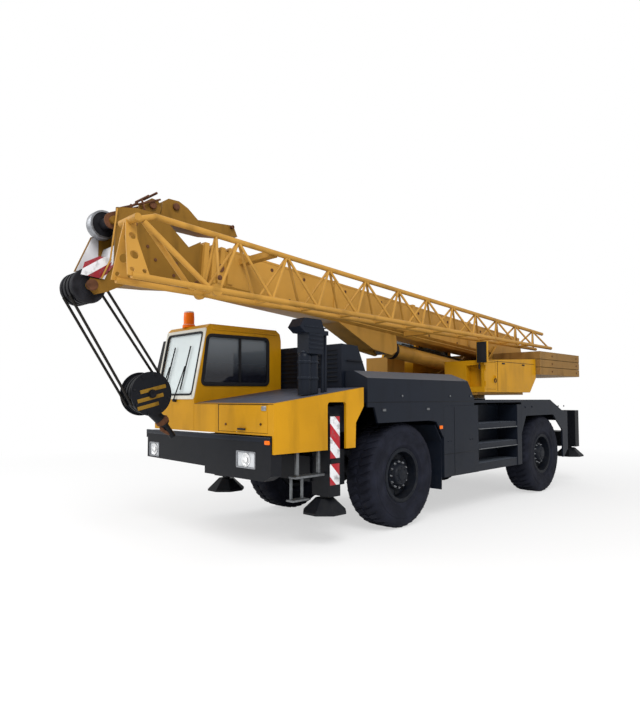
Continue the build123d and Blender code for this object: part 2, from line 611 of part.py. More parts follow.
with BuildPart() as operator_glass:
    extrude(outline(side(op_in - 15), op_window), amount=glass_t)
    extrude(rect(op_screen.offset(-10), *op_sheet), amount=-glass_t)
    extrude(rect(front(op_rear + 15), *op_rear_sheet), amount=glass_t)
finish(operator_glass, "operator_glass")

with BuildPart() as operator_door:
    extrude(outline(side(op_out + op_wall), op_door_line), amount=op_wall)
    extrude(outline(side(op_out + op_wall + 5), op_door_window), amount=op_wall + 10, mode=Mode.SUBTRACT)
finish(operator_door, "operator_door")

with BuildPart() as operator_door_glass:
    extrude(outline(side(op_out + 25), op_door_window), amount=glass_t)
finish(operator_door_glass, "operator_door_glass")

with BuildPart() as operator_seat:
    block(op_rear + 200, op_rear + 650, op_mid - 230, op_mid + 230, op_floor + 30, 2170)
    backrest = [(op_rear + 300, 2170), (op_rear + 170, 2170), (op_rear + 70, 2750), (op_rear + 170, 2750)]
    extrude(outline(side(op_mid + 220), backrest), amount=440)
finish(operator_seat, "operator_seat")

# ==== boom: base, three sliding sections, head, sheaves, hoist rope and hook block ===============
boom_high = boom_low + boom_height
jib_near, jib_far, jib_crest = 1000, 700, 850
chord_r = 30


def jib_low(x):
    """Height of the jib's two lower chords."""
    return 2692 + (x - 1630) * 0.0165


def jib_high(x):
    """Height of the jib's crest chord."""
    return 3190 + (x - 1270) * 0.0585


def boom_box(u0, u1, inset, wall):
    """Hollow box section with its lower corners cut off, inset from the base section's skin."""
    half = boom_half - inset
    low, high = boom_low + inset, boom_high - inset
    cut = 90 - inset
    outer = [(-half, high), (-half, low + cut), (cut - half, low), (half - cut, low), (half, low + cut),
             (half, high)]
    half, low, high = half - wall, low + wall, high - wall
    cut = cut - wall * 0.6
    inner = [(-half, high), (-half, low + cut), (cut - half, low), (half - cut, low), (half, low + cut),
             (half, high)]
    extrude(outline(boom_across(u0), outer), amount=u1 - u0)
    extrude(outline(boom_across(u0 - 5), inner), amount=u1 - u0 + 10, mode=Mode.SUBTRACT)


eye_u, eye_v = 3820, -290
cheek_in = 140
cheek_t = 40
collar_t = 14
with BuildPart() as boom_base:
    boom_box(boom_tail, base_end, 0, boom_wall)
    rod((pivot_x, -boom_half + 1, pivot_z), (pivot_x, boom_half - 1, pivot_z), 80)
    rod((pivot_x, -boom_half - 12, pivot_z), (pivot_x, boom_half + 12, pivot_z), 85)
    rod((pivot_x, -boom_half - 20, pivot_z), (pivot_x, boom_half + 20, pivot_z), 55.3, Mode.SUBTRACT)
    for cheek_y in (cheek_in + cheek_t, -cheek_in):
        cheek = [(5080, boom_low + 1), (4300, -370), (eye_u + 20, -405), (eye_u - 95, eye_v - 40),
                 (eye_u - 95, eye_v + 40), (eye_u - 60, boom_low + 1)]
        extrude(outline(boom_side(cheek_y), cheek), amount=cheek_t)
    web = [(5080, boom_low + 1), (4300, -370), (4280, -345), (4990, boom_low + 1)]
    extrude(outline(boom_side(cheek_in), web), amount=2 * cheek_in)
    for collar_u in (base_end - 70, 5200, 3400, 1700):
        outer_y = boom_half + collar_t
        inner_y = boom_half - 2
        for y0, y1 in ((-outer_y, -inner_y), (inner_y, outer_y)):
            extrude(rect(boom_across(collar_u), y0, y1, boom_low + 110, boom_high + collar_t), amount=70)
        extrude(rect(boom_across(collar_u), -inner_y, inner_y, boom_high - 2, boom_high + collar_t),
                amount=70)
    brackets = [(2700, jib_high(2700), jib_crest - chord_r - 1), (-500, jib_low(-500), jib_far - chord_r - 1)]
    for bracket_x, bracket_z, reach in brackets:
        block(bracket_x - 50, bracket_x + 50, boom_half - 2, reach, bracket_z - 35, bracket_z + 35)
finish(boom_base, "boom_base")

tip_step = 110
tip_collar = 60
for number in (1, 2, 3):
    inset = boom_wall + section_gap + (number - 1) * (section_wall + section_gap)
    tip_u = base_end + tip_step * number
    with BuildPart() as section:
        boom_box(tip_u - tip_collar, tip_u, 0, inset + 5)
        boom_box(350 + 60 * number, tip_u, inset, section_wall)
    finish(section, f"boom_section_{number}")

head_half = 205
plate_t = 22
low_u, low_v, low_r = 8610, -315, 165
top_u, top_v, top_r = 8432, 396, 140
# columns: along the boom, square to it; outlines of the head's pieces on its side
head_plate = [(tip_u + 30, -79), (7870, -156), (8200, -197), (8440, -345), (8560, -395), (8640, -330),
              (8620, -240), (8500, -235), (8392, -80), (8420, 535), (8200, 590), (7920, 600),
              (7560, 340), (tip_u + 30, 440)]
far_flange = [(8380, -60), (8630, -120), (8490, 280), (8410, 300)]
top_arm = [(7920, 555), (7940, 645), (6900, 800), (6830, 680), (7280, 590)]
front_hump = [(7890, 590), (7860, 720), (7900, 795), (7980, 800), (8050, 745), (8070, 590)]
rear_hump = [(7860, 640), (7845, 810), (7780, 860), (7650, 870), (7530, 825), (7390, 730), (7420, 670)]
with BuildPart() as head:
    for y0 in (head_half, -head_half + plate_t):
        extrude(outline(boom_side(y0), head_plate), amount=plate_t)
    extrude(outline(boom_side(-head_half + plate_t), far_flange), amount=plate_t)
    extrude(rect(boom_across(tip_u), -head_half, head_half, boom_low + 30, boom_high - 30), amount=32)
    floor = [(tip_u + 30, -79), (7870, -156), (8200, -197), (8200, -182), (7870, -141), (tip_u + 30, -64)]
    extrude(outline(boom_side(head_half - plate_t), floor), amount=2 * (head_half - plate_t))
    face = [(8392, -80), (8345, 180), (8330, 180), (8370, -80)]
    extrude(outline(boom_side(head_half - plate_t), face), amount=2 * (head_half - plate_t))
    board = [(8400, -70), (8438, -134), (8426, -140), (8388, -80)]
    extrude(outline(boom_side(head_half), board), amount=2 * head_half)
    roof = [(7560, 340), (7920, 600), (8200, 590), (8200, 572), (7928, 582), (7570, 324)]
    extrude(outline(boom_side(head_half - plate_t), roof), amount=2 * (head_half - plate_t))
    extrude(outline(boom_side(90), top_arm), amount=180)
    for y0 in (80, -58):
        extrude(outline(boom_side(y0), front_hump), amount=22)
        extrude(outline(boom_side(y0), rear_hump), amount=22)
    for u, v in ((7970, 720), (7690, 790)):
        rod(boom_point(u, -90, v), boom_point(u, 90, v), 25)
    for u, v in ((low_u, low_v), (top_u, top_v)):
        rod(boom_point(u, -head_half - 15, v), boom_point(u, head_half + 15, v), 40)
finish(head, "boom_head")

with BuildPart() as sheaves:
    # columns: along and square to the boom, radius, rows across, half the hub's length
    sets = [(low_u, low_v, low_r, (-120, -40, 40, 120), 145), (top_u, top_v, top_r, (-100, -45), 125)]
    for u, v, r, rows, hub in sets:
        for y in rows:
            rod(boom_point(u, y - 22, v), boom_point(u, y + 22, v), r)
        rod(boom_point(u, -hub, v), boom_point(u, hub, v), 60)
        rod(boom_point(u, -200, v), boom_point(u, 200, v), 40.3, Mode.SUBTRACT)
finish(sheaves, "head_sheaves")

block_x, block_z = 3800, 1705
block_r = 210
rope_r = 14
with BuildPart() as ropes:
    low_sheave = Vector(*boom_point(low_u, 0, low_v))
    hang = (Vector(block_x, 0, block_z) - low_sheave).normalized()
    out = Vector(-hang.Z, 0, hang.X)
    for hand in (1, -1):
        start = low_sheave + out * hand * (low_r + rope_r + 1)
        end = Vector(block_x, 0, block_z) + out * hand * (block_r + rope_r + 1)
        for y in (-80, 80):
            rod((start.X, y, start.Z), (end.X, y * 0.75, end.Z), rope_r)
finish(ropes, "hoist_ropes")

with BuildPart() as hook_block:
    for y in (-90, -30, 30, 90):
        rod((block_x, y - 18, block_z), (block_x, y + 18, block_z), block_r)
    for y in (-125, 110):
        rod((block_x, y, block_z), (block_x, y + 15, block_z), block_r + 25)
    rod((block_x, -150, block_z), (block_x, 150, block_z), 45)
    rod((block_x - 60, 0, block_z - 180), (block_x - 230, 0, block_z - 330), 60)
    rod((block_x - 200, 0, block_z - 300), (block_x - 330, 0, block_z - 470), 35)
finish(hook_block, "hook_block")

# ==== stowed lattice jib on the boom's left side ================================================
jib_root_x, jib_tip_x = 3560, -3990
jib_panels = 11
brace_r = 16
jib_pitch = (jib_root_x - jib_tip_x) / jib_panels
nose_front_x = 4300
with BuildPart() as jib:
    for y in (jib_near, jib_far):
        rod((4490, y, jib_low(4490)), (jib_tip_x - 100, y, jib_low(jib_tip_x - 100)), chord_r)
    rod((4200, jib_crest, jib_high(4200)), (jib_tip_x - 60, jib_crest, jib_high(jib_tip_x - 60)), chord_r)
    rod((4180, jib_crest, jib_high(4180)), (4440, jib_crest, 3270), chord_r)
    for panel in range(jib_panels):
        x0 = jib_root_x - panel * jib_pitch
        xm, x1 = x0 - jib_pitch / 2, x0 - jib_pitch
        for y in (jib_near, jib_far):
            rod((x0, y, jib_low(x0)), (xm, jib_crest, jib_high(xm)), brace_r)
            rod((xm, jib_crest, jib_high(xm)), (x1, y, jib_low(x1)), brace_r)
        rod((x0, jib_near, jib_low(x0)), (x0, jib_far, jib_low(x0)), brace_r)
    for y, lean in ((jib_near, -1), (jib_far, 1)):
        rod((3670, y, jib_low(3670)), (nose_front_x, jib_crest, 3290), 27)
        rod((jib_root_x, y, jib_low(jib_root_x)), (jib_root_x - 60, jib_crest, jib_high(3500)), brace_r)
        rise = Vector(0, lean * (jib_near - jib_crest), 3270 - jib_low(4400)).normalized()
        leaf_plane = Plane(origin=(0, y - lean * 8, jib_low(4400)), x_dir=(1, 0, 0), z_dir=(0, -rise.Z, rise.Y))
        gusset = [(4310, 0), (4530, 0), (4500, 380), (4480, 560), (4380, 560), (4390, 380)]
        with BuildSketch(leaf_plane) as web:
            with BuildLine():
                Polyline(*gusset, close=True)
            make_face()
            for hole_x, hole_rise, hole_r in ((4360, 60, 22), (4480, 60, 22), (4440, 210, 42), (4435, 400, 34)):
                with Locations((hole_x, hole_rise)):
                    Circle(hole_r, mode=Mode.SUBTRACT)
        extrude(web.sketch, amount=16)
        rod((3595, y + 22, jib_low(3595)), (3595, y - 22, jib_low(3595)), 60)
    rod((4440, jib_far - 10, 3270), (4440, jib_near + 10, 3270), 35)
finish(jib, "jib_lattice")

# ==== lift cylinder ==============================================================================
lift_foot = (lift_foot_x, 0, lift_foot_z)
lift_eye = boom_point(eye_u, 0, eye_v)
along = (Vector(*lift_eye) - Vector(*lift_foot)).normalized()
lift_length = (Vector(*lift_eye) - Vector(*lift_foot)).length


def lift_point(distance):
    """Point on the cylinder's axis, at a distance from its foot pin."""
    place = Vector(*lift_foot) + along * distance
    return (place.X, place.Y, place.Z)


lift_r = 118
with BuildPart() as barrel:
    rod(lift_point(60), lift_point(lift_length - 200), lift_r)
    rod(lift_point(lift_length - 230), lift_point(lift_length - 130), lift_r + 12)
    rod((lift_foot[0], 10 - lift_lug_in, lift_foot[2]), (lift_foot[0], lift_lug_in - 10, lift_foot[2]), 90)
    rod(lift_point(400), lift_point(lift_length - 100), 76, Mode.SUBTRACT)
    rod((lift_foot[0], -lift_lug_in, lift_foot[2]), (lift_foot[0], lift_lug_in, lift_foot[2]), 45.3, Mode.SUBTRACT)
finish(barrel, "lift_barrel")

with BuildPart() as lift_rod:
    rod(lift_point(460), lift_point(lift_length - 60), 70)
    rod((lift_eye[0], 10 - cheek_in, lift_eye[2]), (lift_eye[0], cheek_in - 10, lift_eye[2]), 95)
finish(lift_rod, "lift_rod")
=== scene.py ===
"""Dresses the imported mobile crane: paint, rubber, glass, trim, tyres, rims, head gear and hook."""
from math import cos, pi, radians, sin

import bpy
from mathutils import Matrix, Vector


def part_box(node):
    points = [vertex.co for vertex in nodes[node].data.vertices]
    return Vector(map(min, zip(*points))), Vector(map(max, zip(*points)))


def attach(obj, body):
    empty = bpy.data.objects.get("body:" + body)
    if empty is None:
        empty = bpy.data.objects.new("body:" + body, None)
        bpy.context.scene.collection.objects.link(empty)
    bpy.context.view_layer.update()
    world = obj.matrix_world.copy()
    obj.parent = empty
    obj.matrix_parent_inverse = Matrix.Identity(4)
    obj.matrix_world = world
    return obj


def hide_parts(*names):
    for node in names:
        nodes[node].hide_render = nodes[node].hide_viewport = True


bl_info = {
    "name": "Mobile crane",
    "version": (1, 0, 0),
    "blender": (4, 5, 0),
    "location": "3D View > Sidebar > Crane",
    "description": "Paint, tyres, trim and small parts of a two-axle mobile crane",
    "category": "Object",
}

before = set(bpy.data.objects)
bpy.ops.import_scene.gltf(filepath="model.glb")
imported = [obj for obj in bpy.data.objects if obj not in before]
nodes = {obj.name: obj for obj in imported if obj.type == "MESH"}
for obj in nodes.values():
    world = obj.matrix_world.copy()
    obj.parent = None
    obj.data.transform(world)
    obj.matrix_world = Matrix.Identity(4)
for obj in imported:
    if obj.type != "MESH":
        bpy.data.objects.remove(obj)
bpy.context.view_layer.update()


# ---- sizes and colours a user may change ---------------------------------------------------------
class CraneSizes(bpy.types.PropertyGroup):
    """Sizes of the crane's dressing."""
    lug_count: bpy.props.IntProperty(
        name="Tread lugs", description="Lugs round one shoulder of a tyre", default=40, min=12, max=60)
    lug_height: bpy.props.FloatProperty(
        name="Tread depth", description="Height of the tread lugs", default=0.013, unit="LENGTH")
    bolt: bpy.props.FloatProperty(
        name="Bolt head", description="Width across a bolt head", default=0.024, unit="LENGTH")


class CraneColours(bpy.types.PropertyGroup):
    """Colours of the crane's finishes."""
    yellow: bpy.props.FloatVectorProperty(
        name="Body yellow", description="Golden yellow of the upper works", subtype="COLOR",
        size=3, default=(0.50, 0.240, 0.0045))
    faded: bpy.props.FloatVectorProperty(
        name="Faded yellow", description="Sun-faded yellow of the boom and jib", subtype="COLOR",
        size=3, default=(0.45, 0.232, 0.042))
    navy: bpy.props.FloatVectorProperty(
        name="Carrier blue", description="Dark blue-grey of the carrier", subtype="COLOR",
        size=3, default=(0.0075, 0.0105, 0.018))
    black: bpy.props.FloatVectorProperty(
        name="Chassis black", description="Black of the bumper and running gear", subtype="COLOR",
        size=3, default=(0.0060, 0.0070, 0.0100))
    rubber: bpy.props.FloatVectorProperty(
        name="Tyre rubber", description="Tyre rubber", subtype="COLOR",
        size=3, default=(0.0080, 0.0090, 0.0150))


# ---- materials -----------------------------------------------------------------------------------
class Finish:
    """One procedural material being put together: a Principled shader and the nodes before it."""

    def __init__(self, name, roughness=0.5, metallic=0.0):
        self.material = bpy.data.materials.new(name)
        self.material.use_nodes = True
        self.tree = self.material.node_tree
        self.shader = self.tree.nodes["Principled BSDF"]
        self.shader.inputs["Roughness"].default_value = roughness
        self.shader.inputs["Metallic"].default_value = metallic
        self.shader.inputs["Specular IOR Level"].default_value = 0.12
        self.place = self.add("ShaderNodeTexCoord").outputs["Object"]

    def add(self, kind, **values):
        node = self.tree.nodes.new(kind)
        for key, value in values.items():
            setattr(node, key, value)
        return node

    def link(self, start, end):
        self.tree.links.new(start, end)

    def noise(self, scale, detail=4.0, stretch=(1, 1, 1)):
        """Grey noise on the piece's own coordinates."""
        place = self.add("ShaderNodeMapping")
        place.inputs["Scale"].default_value = stretch
        self.link(self.place, place.inputs["Vector"])
        grain = self.add("ShaderNodeTexNoise")
        grain.inputs["Scale"].default_value = scale
        grain.inputs["Detail"].default_value = detail
        self.link(place.outputs["Vector"], grain.inputs["Vector"])
        return grain.outputs["Fac"]

    def ramp(self, source, low, high, colours=((0, 0, 0), (1, 1, 1)), constant=False):
        """Maps a grey value between low and high onto two colours."""
        ramp = self.add("ShaderNodeValToRGB")
        ramp.color_ramp.interpolation = "CONSTANT" if constant else "LINEAR"
        for stop, place, colour in zip(ramp.color_ramp.elements, (low, high), colours):
            stop.position = place
            stop.color = (*colour, 1)
        self.link(source, ramp.inputs["Fac"])
        return ramp.outputs["Color"]

    def feed(self, value, socket):
        """Links a socket to another, or sets it to a number or a colour."""
        if hasattr(value, "is_linked"):
            self.link(value, socket)
        elif isinstance(value, (int, float)):
            socket.default_value = value
        else:
            socket.default_value = (*value, 1)

    def mix(self, fac, first, second):
        """Mixes two colours; each may be a colour or a socket."""
        mixer = self.add("ShaderNodeMix", data_type="RGBA")
        for place, value in ((0, fac), (6, first), (7, second)):
            self.feed(value, mixer.inputs[place])
        return mixer.outputs[2]

    def maths(self, operation, *values):
        """Grey value worked out from sockets and numbers."""
        node = self.add("ShaderNodeMath", operation=operation)
        for place, value in enumerate(values):
            self.feed(value, node.inputs[place])
        return node.outputs["Value"]

    def span(self, source, low, high, start=0.0, end=1.0):
        """Maps a grey value between low and high onto start to end."""
        node = self.add("ShaderNodeMapRange")
        for key, value in (("Value", source), ("From Min", low), ("From Max", high), ("To Min", start),
                           ("To Max", end)):
            self.feed(value, node.inputs[key])
        return node.outputs["Result"]

    def part(self, source, axis):
        """One coordinate of a vector."""
        split = self.add("ShaderNodeSeparateXYZ")
        self.link(source, split.inputs["Vector"])
        return split.outputs[axis]

    def colour(self, source):
        self.link(source, self.shader.inputs["Base Color"])

    def roughness(self, source, low, high):
        """Roughness that follows a grey value."""
        self.link(self.span(source, 0, 1, low, high), self.shader.inputs["Roughness"])

    def bump(self, source, strength, distance=0.002):
        bump = self.add("ShaderNodeBump")
        bump.inputs["Strength"].default_value = strength
        bump.inputs["Distance"].default_value = distance
        self.link(source, bump.inputs["Height"])
        self.link(bump.outputs["Normal"], self.shader.inputs["Normal"])


def shade(colour, factor):
    """A colour made lighter or darker."""
    return tuple(min(1.0, part * factor) for part in colour)


dust_foot, most_dust = 0.2, 0.4


def paint(name, colour, roughness=0.32, dust=(0.22, 0.19, 0.15), dust_top=1.0, dulling=0.25, top=None):
    """Machine enamel: faded patches, orange peel, road dust low down and painted light that pales level faces when
    a top colour is given.
    """
    finish = Finish(name, roughness)
    finish.shader.inputs["Coat Weight"].default_value = 0.05
    finish.shader.inputs["Coat Roughness"].default_value = 0.25
    patches = finish.noise(1.7, 5)
    body = finish.mix(finish.ramp(patches, 0.35, 0.7), shade(colour, 0.90), shade(colour, 1.10))
    streaks = finish.ramp(finish.noise(5.0, 8, (1, 1, 0.25)), 0.52, 0.74)
    stained = finish.mix(streaks, body, shade(colour, 1.0 - dulling))
    low = finish.span(finish.part(finish.place, "Z"), dust_top, dust_foot, 0, most_dust)
    speckle = finish.ramp(finish.noise(14.0, 8), 0.35, 0.65)
    body = finish.mix(finish.maths("MULTIPLY", low, speckle), stained, dust)
    # painted light: faces that look upward take the paler top colour, as if lit from above
    if top:
        painted_top_light = finish.part(finish.add("ShaderNodeTexCoord").outputs["Normal"], "Z")
        body = finish.mix(finish.ramp(painted_top_light, 0.75, 1.0), body, top)
    finish.colour(body)
    finish.roughness(patches, roughness - 0.08, roughness + 0.18)
    finish.bump(finish.noise(180.0, 2), 0.06, 0.001)
    return finish.material


def rubber(name, colour):
    """Tyre rubber, greyed by dust in the low places."""
    finish = Finish(name, 0.75)
    bloom = finish.ramp(finish.noise(6.0, 8), 0.38, 0.72)
    finish.colour(finish.mix(bloom, colour, shade(colour, 1.8)))
    finish.roughness(finish.noise(20.0, 4), 0.6, 0.9)
    finish.bump(finish.noise(260.0, 3), 0.25, 0.001)
    return finish.material


def bare_metal(name, colour, roughness=0.35, scale=40.0, stretch=(1, 1, 1)):
    """Worn or machined metal with fine marks."""
    finish = Finish(name, roughness, 1.0)
    marks = finish.noise(scale, 6, stretch)
    finish.colour(finish.mix(finish.ramp(marks, 0.3, 0.7), shade(colour, 0.7), shade(colour, 1.2)))
    finish.roughness(marks, roughness - 0.1, roughness + 0.2)
    finish.bump(marks, 0.12, 0.001)
    return finish.material


def cast_iron(name, colour, roughness=0.65):
    """Oily, sandy casting."""
    finish = Finish(name, roughness, 0.35)
    patch = finish.noise(9.0, 8)
    finish.colour(finish.mix(finish.ramp(patch, 0.35, 0.7), shade(colour, 0.6), shade(colour, 1.6)))
    finish.roughness(patch, roughness - 0.2, roughness + 0.15)
    finish.bump(finish.noise(120.0, 5), 0.3, 0.001)
    return finish.material


def moulded(name, colour, roughness=0.55, grain=350.0):
    """Grained plastic or rubber trim."""
    finish = Finish(name, roughness)
    tone = finish.noise(7.0, 4)
    finish.colour(finish.mix(finish.ramp(tone, 0.3, 0.7), shade(colour, 0.85), shade(colour, 1.2)))
    finish.roughness(tone, roughness - 0.08, roughness + 0.1)
    finish.bump(finish.noise(grain, 3), 0.2, 0.0008)
    return finish.material


def window(name, tint=(0.10, 0.12, 0.13), alpha=0.72):
    """Window glass with a film of dust."""
    finish = Finish(name, 0.03)
    haze = finish.noise(3.0, 6)
    finish.colour(finish.mix(finish.ramp(haze, 0.45, 0.8), tint, shade(tint, 0.8)))
    finish.roughness(haze, 0.02, 0.10)
    finish.shader.inputs["Alpha"].default_value = alpha
    finish.shader.inputs["IOR"].default_value = 1.5
    finish.shader.inputs["Specular IOR Level"].default_value = 0.8
    return finish.material


side_pane_y = -0.262
# heights over which the side pane's painted reflection brightens
reflection_fade_heights = (1.95, 2.35)


def cab_panes_painted_reflection():
    """Glass of the cab with painted reflection: a windscreen painted pale as a sky reflection and a dark side pane
    whose painted reflection brightens upwards.
    """
    finish = Finish("cab glass with painted reflection", 0.04)
    aside = finish.maths("GREATER_THAN", finish.part(finish.place, "Y"), side_pane_y)
    rise = finish.span(finish.part(finish.place, "Z"), *reflection_fade_heights)
    # painted reflection: the side pane goes from near black to pale grey upwards
    side = finish.mix(rise, (0.010, 0.011, 0.018), (0.13, 0.15, 0.17))
    # painted reflection: the windscreen's pale colour
    finish.colour(finish.mix(aside, (0.80, 0.88, 0.89), side))
    finish.link(finish.span(aside, 0, 1, 0.80, 0.88), finish.shader.inputs["Alpha"])
    finish.shader.inputs["Specular IOR Level"].default_value = 0.5
    return finish.material


def stripes(name, first, second, pitch, turn, roughness=0.45):
    """Slanting warning stripes on an upright plate."""
    finish = Finish(name, roughness)
    place = finish.add("ShaderNodeMapping")
    place.inputs["Rotation"].default_value = turn
    finish.link(finish.place, place.inputs["Vector"])
    count = finish.maths("MULTIPLY", finish.part(place.outputs["Vector"], "Z"), 1 / pitch)
    bands = finish.ramp(finish.maths("FRACT", count), 0.0, 0.5, (first, second), constant=True)
    grime = finish.ramp(finish.noise(18.0, 7), 0.5, 0.8)
    finish.colour(finish.mix(grime, bands, (0.12, 0.11, 0.11)))
    finish.bump(finish.noise(90.0, 4), 0.1, 0.001)
    return finish.material


palette = {}


def make_palette():
    """All the crane's finishes, made once from the user's colours."""
    tones = bpy.context.scene.crane_colours
    yellow, faded, navy, black, tyre = (
        tuple(tone) for tone in (tones.yellow, tones.faded, tones.navy, tones.black, tones.rubber))
    palette.update({
        "yellow": paint("yellow enamel", yellow),
        # the carrier blue's top colour is painted light on level faces
        "navy": paint("carrier enamel", navy, 0.38, (0.020, 0.021, 0.025), 1.3, top=(0.10, 0.115, 0.14)),
        "black": paint("chassis black", black, 0.45, (0.018, 0.018, 0.018), 1.3),
        "tyre": rubber("tyre rubber", tyre),
        "rim": paint("rim enamel", shade(navy, 0.8), 0.5, (0.030, 0.029, 0.028), 1.4),
        "iron": cast_iron("black casting", (0.014, 0.014, 0.017)),
        "engine": cast_iron("engine casting", (0.028, 0.032, 0.044)),
        "rope": bare_metal("greased wire rope", (0.030, 0.028, 0.026), 0.55, 160.0),
        "steel": bare_metal("ground steel rod", (0.55, 0.55, 0.56), 0.22, 60.0, (6, 1, 6)),
        "glass": window("window glass"),
        "cab_panes_painted_reflection": cab_panes_painted_reflection(),
        "deck": paint("deck enamel", (0.070, 0.078, 0.105), 0.45),
        # a darker yellow for the boom head
        "dark_head_yellow": paint("dark head enamel", (0.21, 0.105, 0.014), 0.5, dulling=0.5),
        # the counterweight's yellow is darkened as painted shade
        "weight": paint("counterweight enamel with painted shade", (0.25, 0.135, 0.036), 0.55, dulling=0.4),
        "trim": moulded("black moulding", (0.014, 0.014, 0.016)),
        "seat": moulded("seat cloth", (0.030, 0.032, 0.040), 0.85, 500.0),
        "lens": window("lamp glass", (0.82, 0.85, 0.88), 0.75),
        "amber": moulded("amber lens", (0.85, 0.16, 0.01), 0.18, 60.0),
        "faded": paint("sun-faded enamel", faded, 0.42, dulling=0.30),
        "cream": paint("cream enamel", (0.62, 0.60, 0.53), 0.35, dulling=0.18),
        "white": paint("white enamel", (0.62, 0.62, 0.64), 0.4, dulling=0.35),
        "dull_yellow": paint("dirty yellow", (0.22, 0.12, 0.012), 0.6, dulling=0.6),
        "rust": cast_iron("rusty steel", (0.115, 0.050, 0.026), 0.8),
        "worn_edge": bare_metal("worn edge", (0.20, 0.21, 0.22), 0.5, 30.0),
        "steel_worn": bare_metal("worn steel", (0.30, 0.31, 0.33), 0.4, 40.0),
        "chrome": bare_metal("lamp reflector", (0.86, 0.88, 0.90), 0.12, 12.0),
        "bulb": moulded("frosted bulb", (0.95, 0.95, 0.95), 0.2, 40.0),
        "stripes": stripes("red and white stripes", (0.40, 0.020, 0.030), (0.70, 0.70, 0.72), 0.21,
                           (0, radians(45), 0)),
        "head_stripes": stripes("head board stripes", (0.26, 0.022, 0.032), (0.66, 0.66, 0.68), 0.155,
                                (0, radians(-35), 0)),
    })


# ---- CAD nodes -----------------------------------------------------------------------------------
node_finish = {
    "cab_glass": "cab_panes_painted_reflection", "cab_door_glass": "glass", "operator_glass": "glass",
    "operator_door_glass": "glass", "cab_interior": "trim", "operator_seat": "seat",
    "cab_mirror": "trim", "engine_block": "engine", "hoist_ropes": "rope", "head_sheaves": "iron",
    "winch": "iron", "lift_rod": "steel", "hook_block": "black", "front_bumper": "black",
    "lamps": "lens", "axles": "iron", "chassis_frame": "black", "front_hoods": "navy",
    "side_lockers": "navy", "rear_deck": "navy", "engine_cover": "navy", "intake_stack": "navy",
    "boom_base": "faded", "boom_section_1": "faded", "boom_section_2": "faded", "boom_section_3": "faded",
    "boom_head": "dark_head_yellow", "jib_lattice": "faded", "lift_barrel": "faded", "turntable_frame": "faded",
    "counterweight": "weight",
}


class CRANE_OT_paint(bpy.types.Operator):
    """Give every carried-over part of the crane its finish"""
    bl_idname = "crane.paint"
    bl_label = "Paint the crane"

    def execute(self, context):
        make_palette()
        for name, node in nodes.items():
            if name.startswith("tyre"):
                key = "tyre"
            elif name.startswith(("rim", "knuckle")):
                key = "rim"
            elif name.startswith("outrigger"):
                key = "black"
            else:
                key = node_finish.get(name, "yellow")
            for place in node.material_slots:
                place.material = palette[key]
        return {"FINISHED"}


# ---- modelling helpers ---------------------------------------------------------------------------
def clear_selection():
    """Object mode with nothing selected."""
    if bpy.context.mode != "OBJECT":
        bpy.ops.object.mode_set(mode="OBJECT")
    bpy.ops.object.select_all(action="DESELECT")


def pick(piece):
    """Selects one piece alone and makes it active."""
    clear_selection()
    piece.select_set(True)
    bpy.context.view_layer.objects.active = piece


def settle(piece):
    """Puts a piece's place, turn and scale into its mesh."""
    pick(piece)
    bpy.ops.object.transform_apply(location=True, rotation=True, scale=True)
    return piece


def round_edges(piece, width, segments=2):
    """Rounds the sharp edges of a piece."""
    pick(piece)
    bpy.ops.object.modifier_add(type="BEVEL")
    bevel = piece.modifiers[-1]
    bevel.width = width
    bevel.segments = segments
    bevel.limit_method = "ANGLE"
    bevel.angle_limit = radians(35)
    bpy.ops.object.modifier_apply(modifier=bevel.name)
    bpy.ops.object.shade_smooth_by_angle(angle=radians(40))
    return piece


def slab(low, high, edge=0.004):
    """Sheet or block between two corners, its edges rounded."""
    clear_selection()
    low, high = Vector(low), Vector(high)
    bpy.ops.mesh.primitive_cube_add(size=1, location=(low + high) / 2)
    piece = bpy.context.object
    piece.scale = high - low
    return round_edges(settle(piece), edge)


def bar(start, end, radius, sides=16, edge=0.003):
    """Round bar between two points, its ends chamfered."""
    clear_selection()
    start, end = Vector(start), Vector(end)
    turn = (end - start).to_track_quat("Z", "Y").to_euler()
    bpy.ops.mesh.primitive_cylinder_add(vertices=sides, radius=radius, depth=(end - start).length,
                                        location=(start + end) / 2, rotation=turn)
    return round_edges(settle(bpy.context.object), edge, 1)


def stud(start, reach, radius, sides=16, edge=0.003):
    """Round bar that stands out from a point by a vector."""
    return bar(start, Vector(start) + Vector(reach), radius, sides, edge)


def chain(points):
    """Edges drawn from point to point, left in edit mode with all of them selected."""
    clear_selection()
    bpy.ops.mesh.primitive_plane_add(size=0.01, location=points[0])
    piece = settle(bpy.context.object)
    bpy.ops.object.mode_set(mode="EDIT")
    bpy.ops.mesh.select_all(action="SELECT")
    bpy.ops.mesh.merge(type="CENTER")
    for before, after in zip(points, points[1:]):
        bpy.ops.mesh.extrude_vertices_move(
            TRANSFORM_OT_translate={"value": Vector(after) - Vector(before)})
    bpy.ops.mesh.select_all(action="SELECT")
    return piece


def plate(points, depth, edge=0.003):
    """Flat plate with the given outline, extruded by a vector."""
    piece = chain(points)
    bpy.ops.mesh.edge_face_add()
    bpy.ops.mesh.extrude_region_move(TRANSFORM_OT_translate={"value": Vector(depth)})
    bpy.ops.mesh.select_all(action="SELECT")
    bpy.ops.mesh.normals_make_consistent(inside=False)
    return round_edges(piece, edge)


def surround(points, width, thickness, corner=0.0, edge=0.003):
    """Flat ring that follows an outline inwards, as a window rubber or a lamp frame does."""
    piece = chain(points)
    bpy.ops.mesh.edge_face_add()
    if corner:
        bpy.ops.mesh.bevel(offset=corner, segments=5, affect="VERTICES")
        bpy.ops.mesh.select_all(action="SELECT")
    bpy.ops.mesh.inset(thickness=width)
    bpy.ops.mesh.delete(type="FACE")
    bpy.ops.object.mode_set(mode="OBJECT")
    bpy.ops.object.modifier_add(type="SOLIDIFY")
    wall = piece.modifiers[-1]
    wall.thickness = thickness
    wall.offset = 0
    bpy.ops.object.modifier_apply(modifier=wall.name)
    return round_edges(piece, edge)


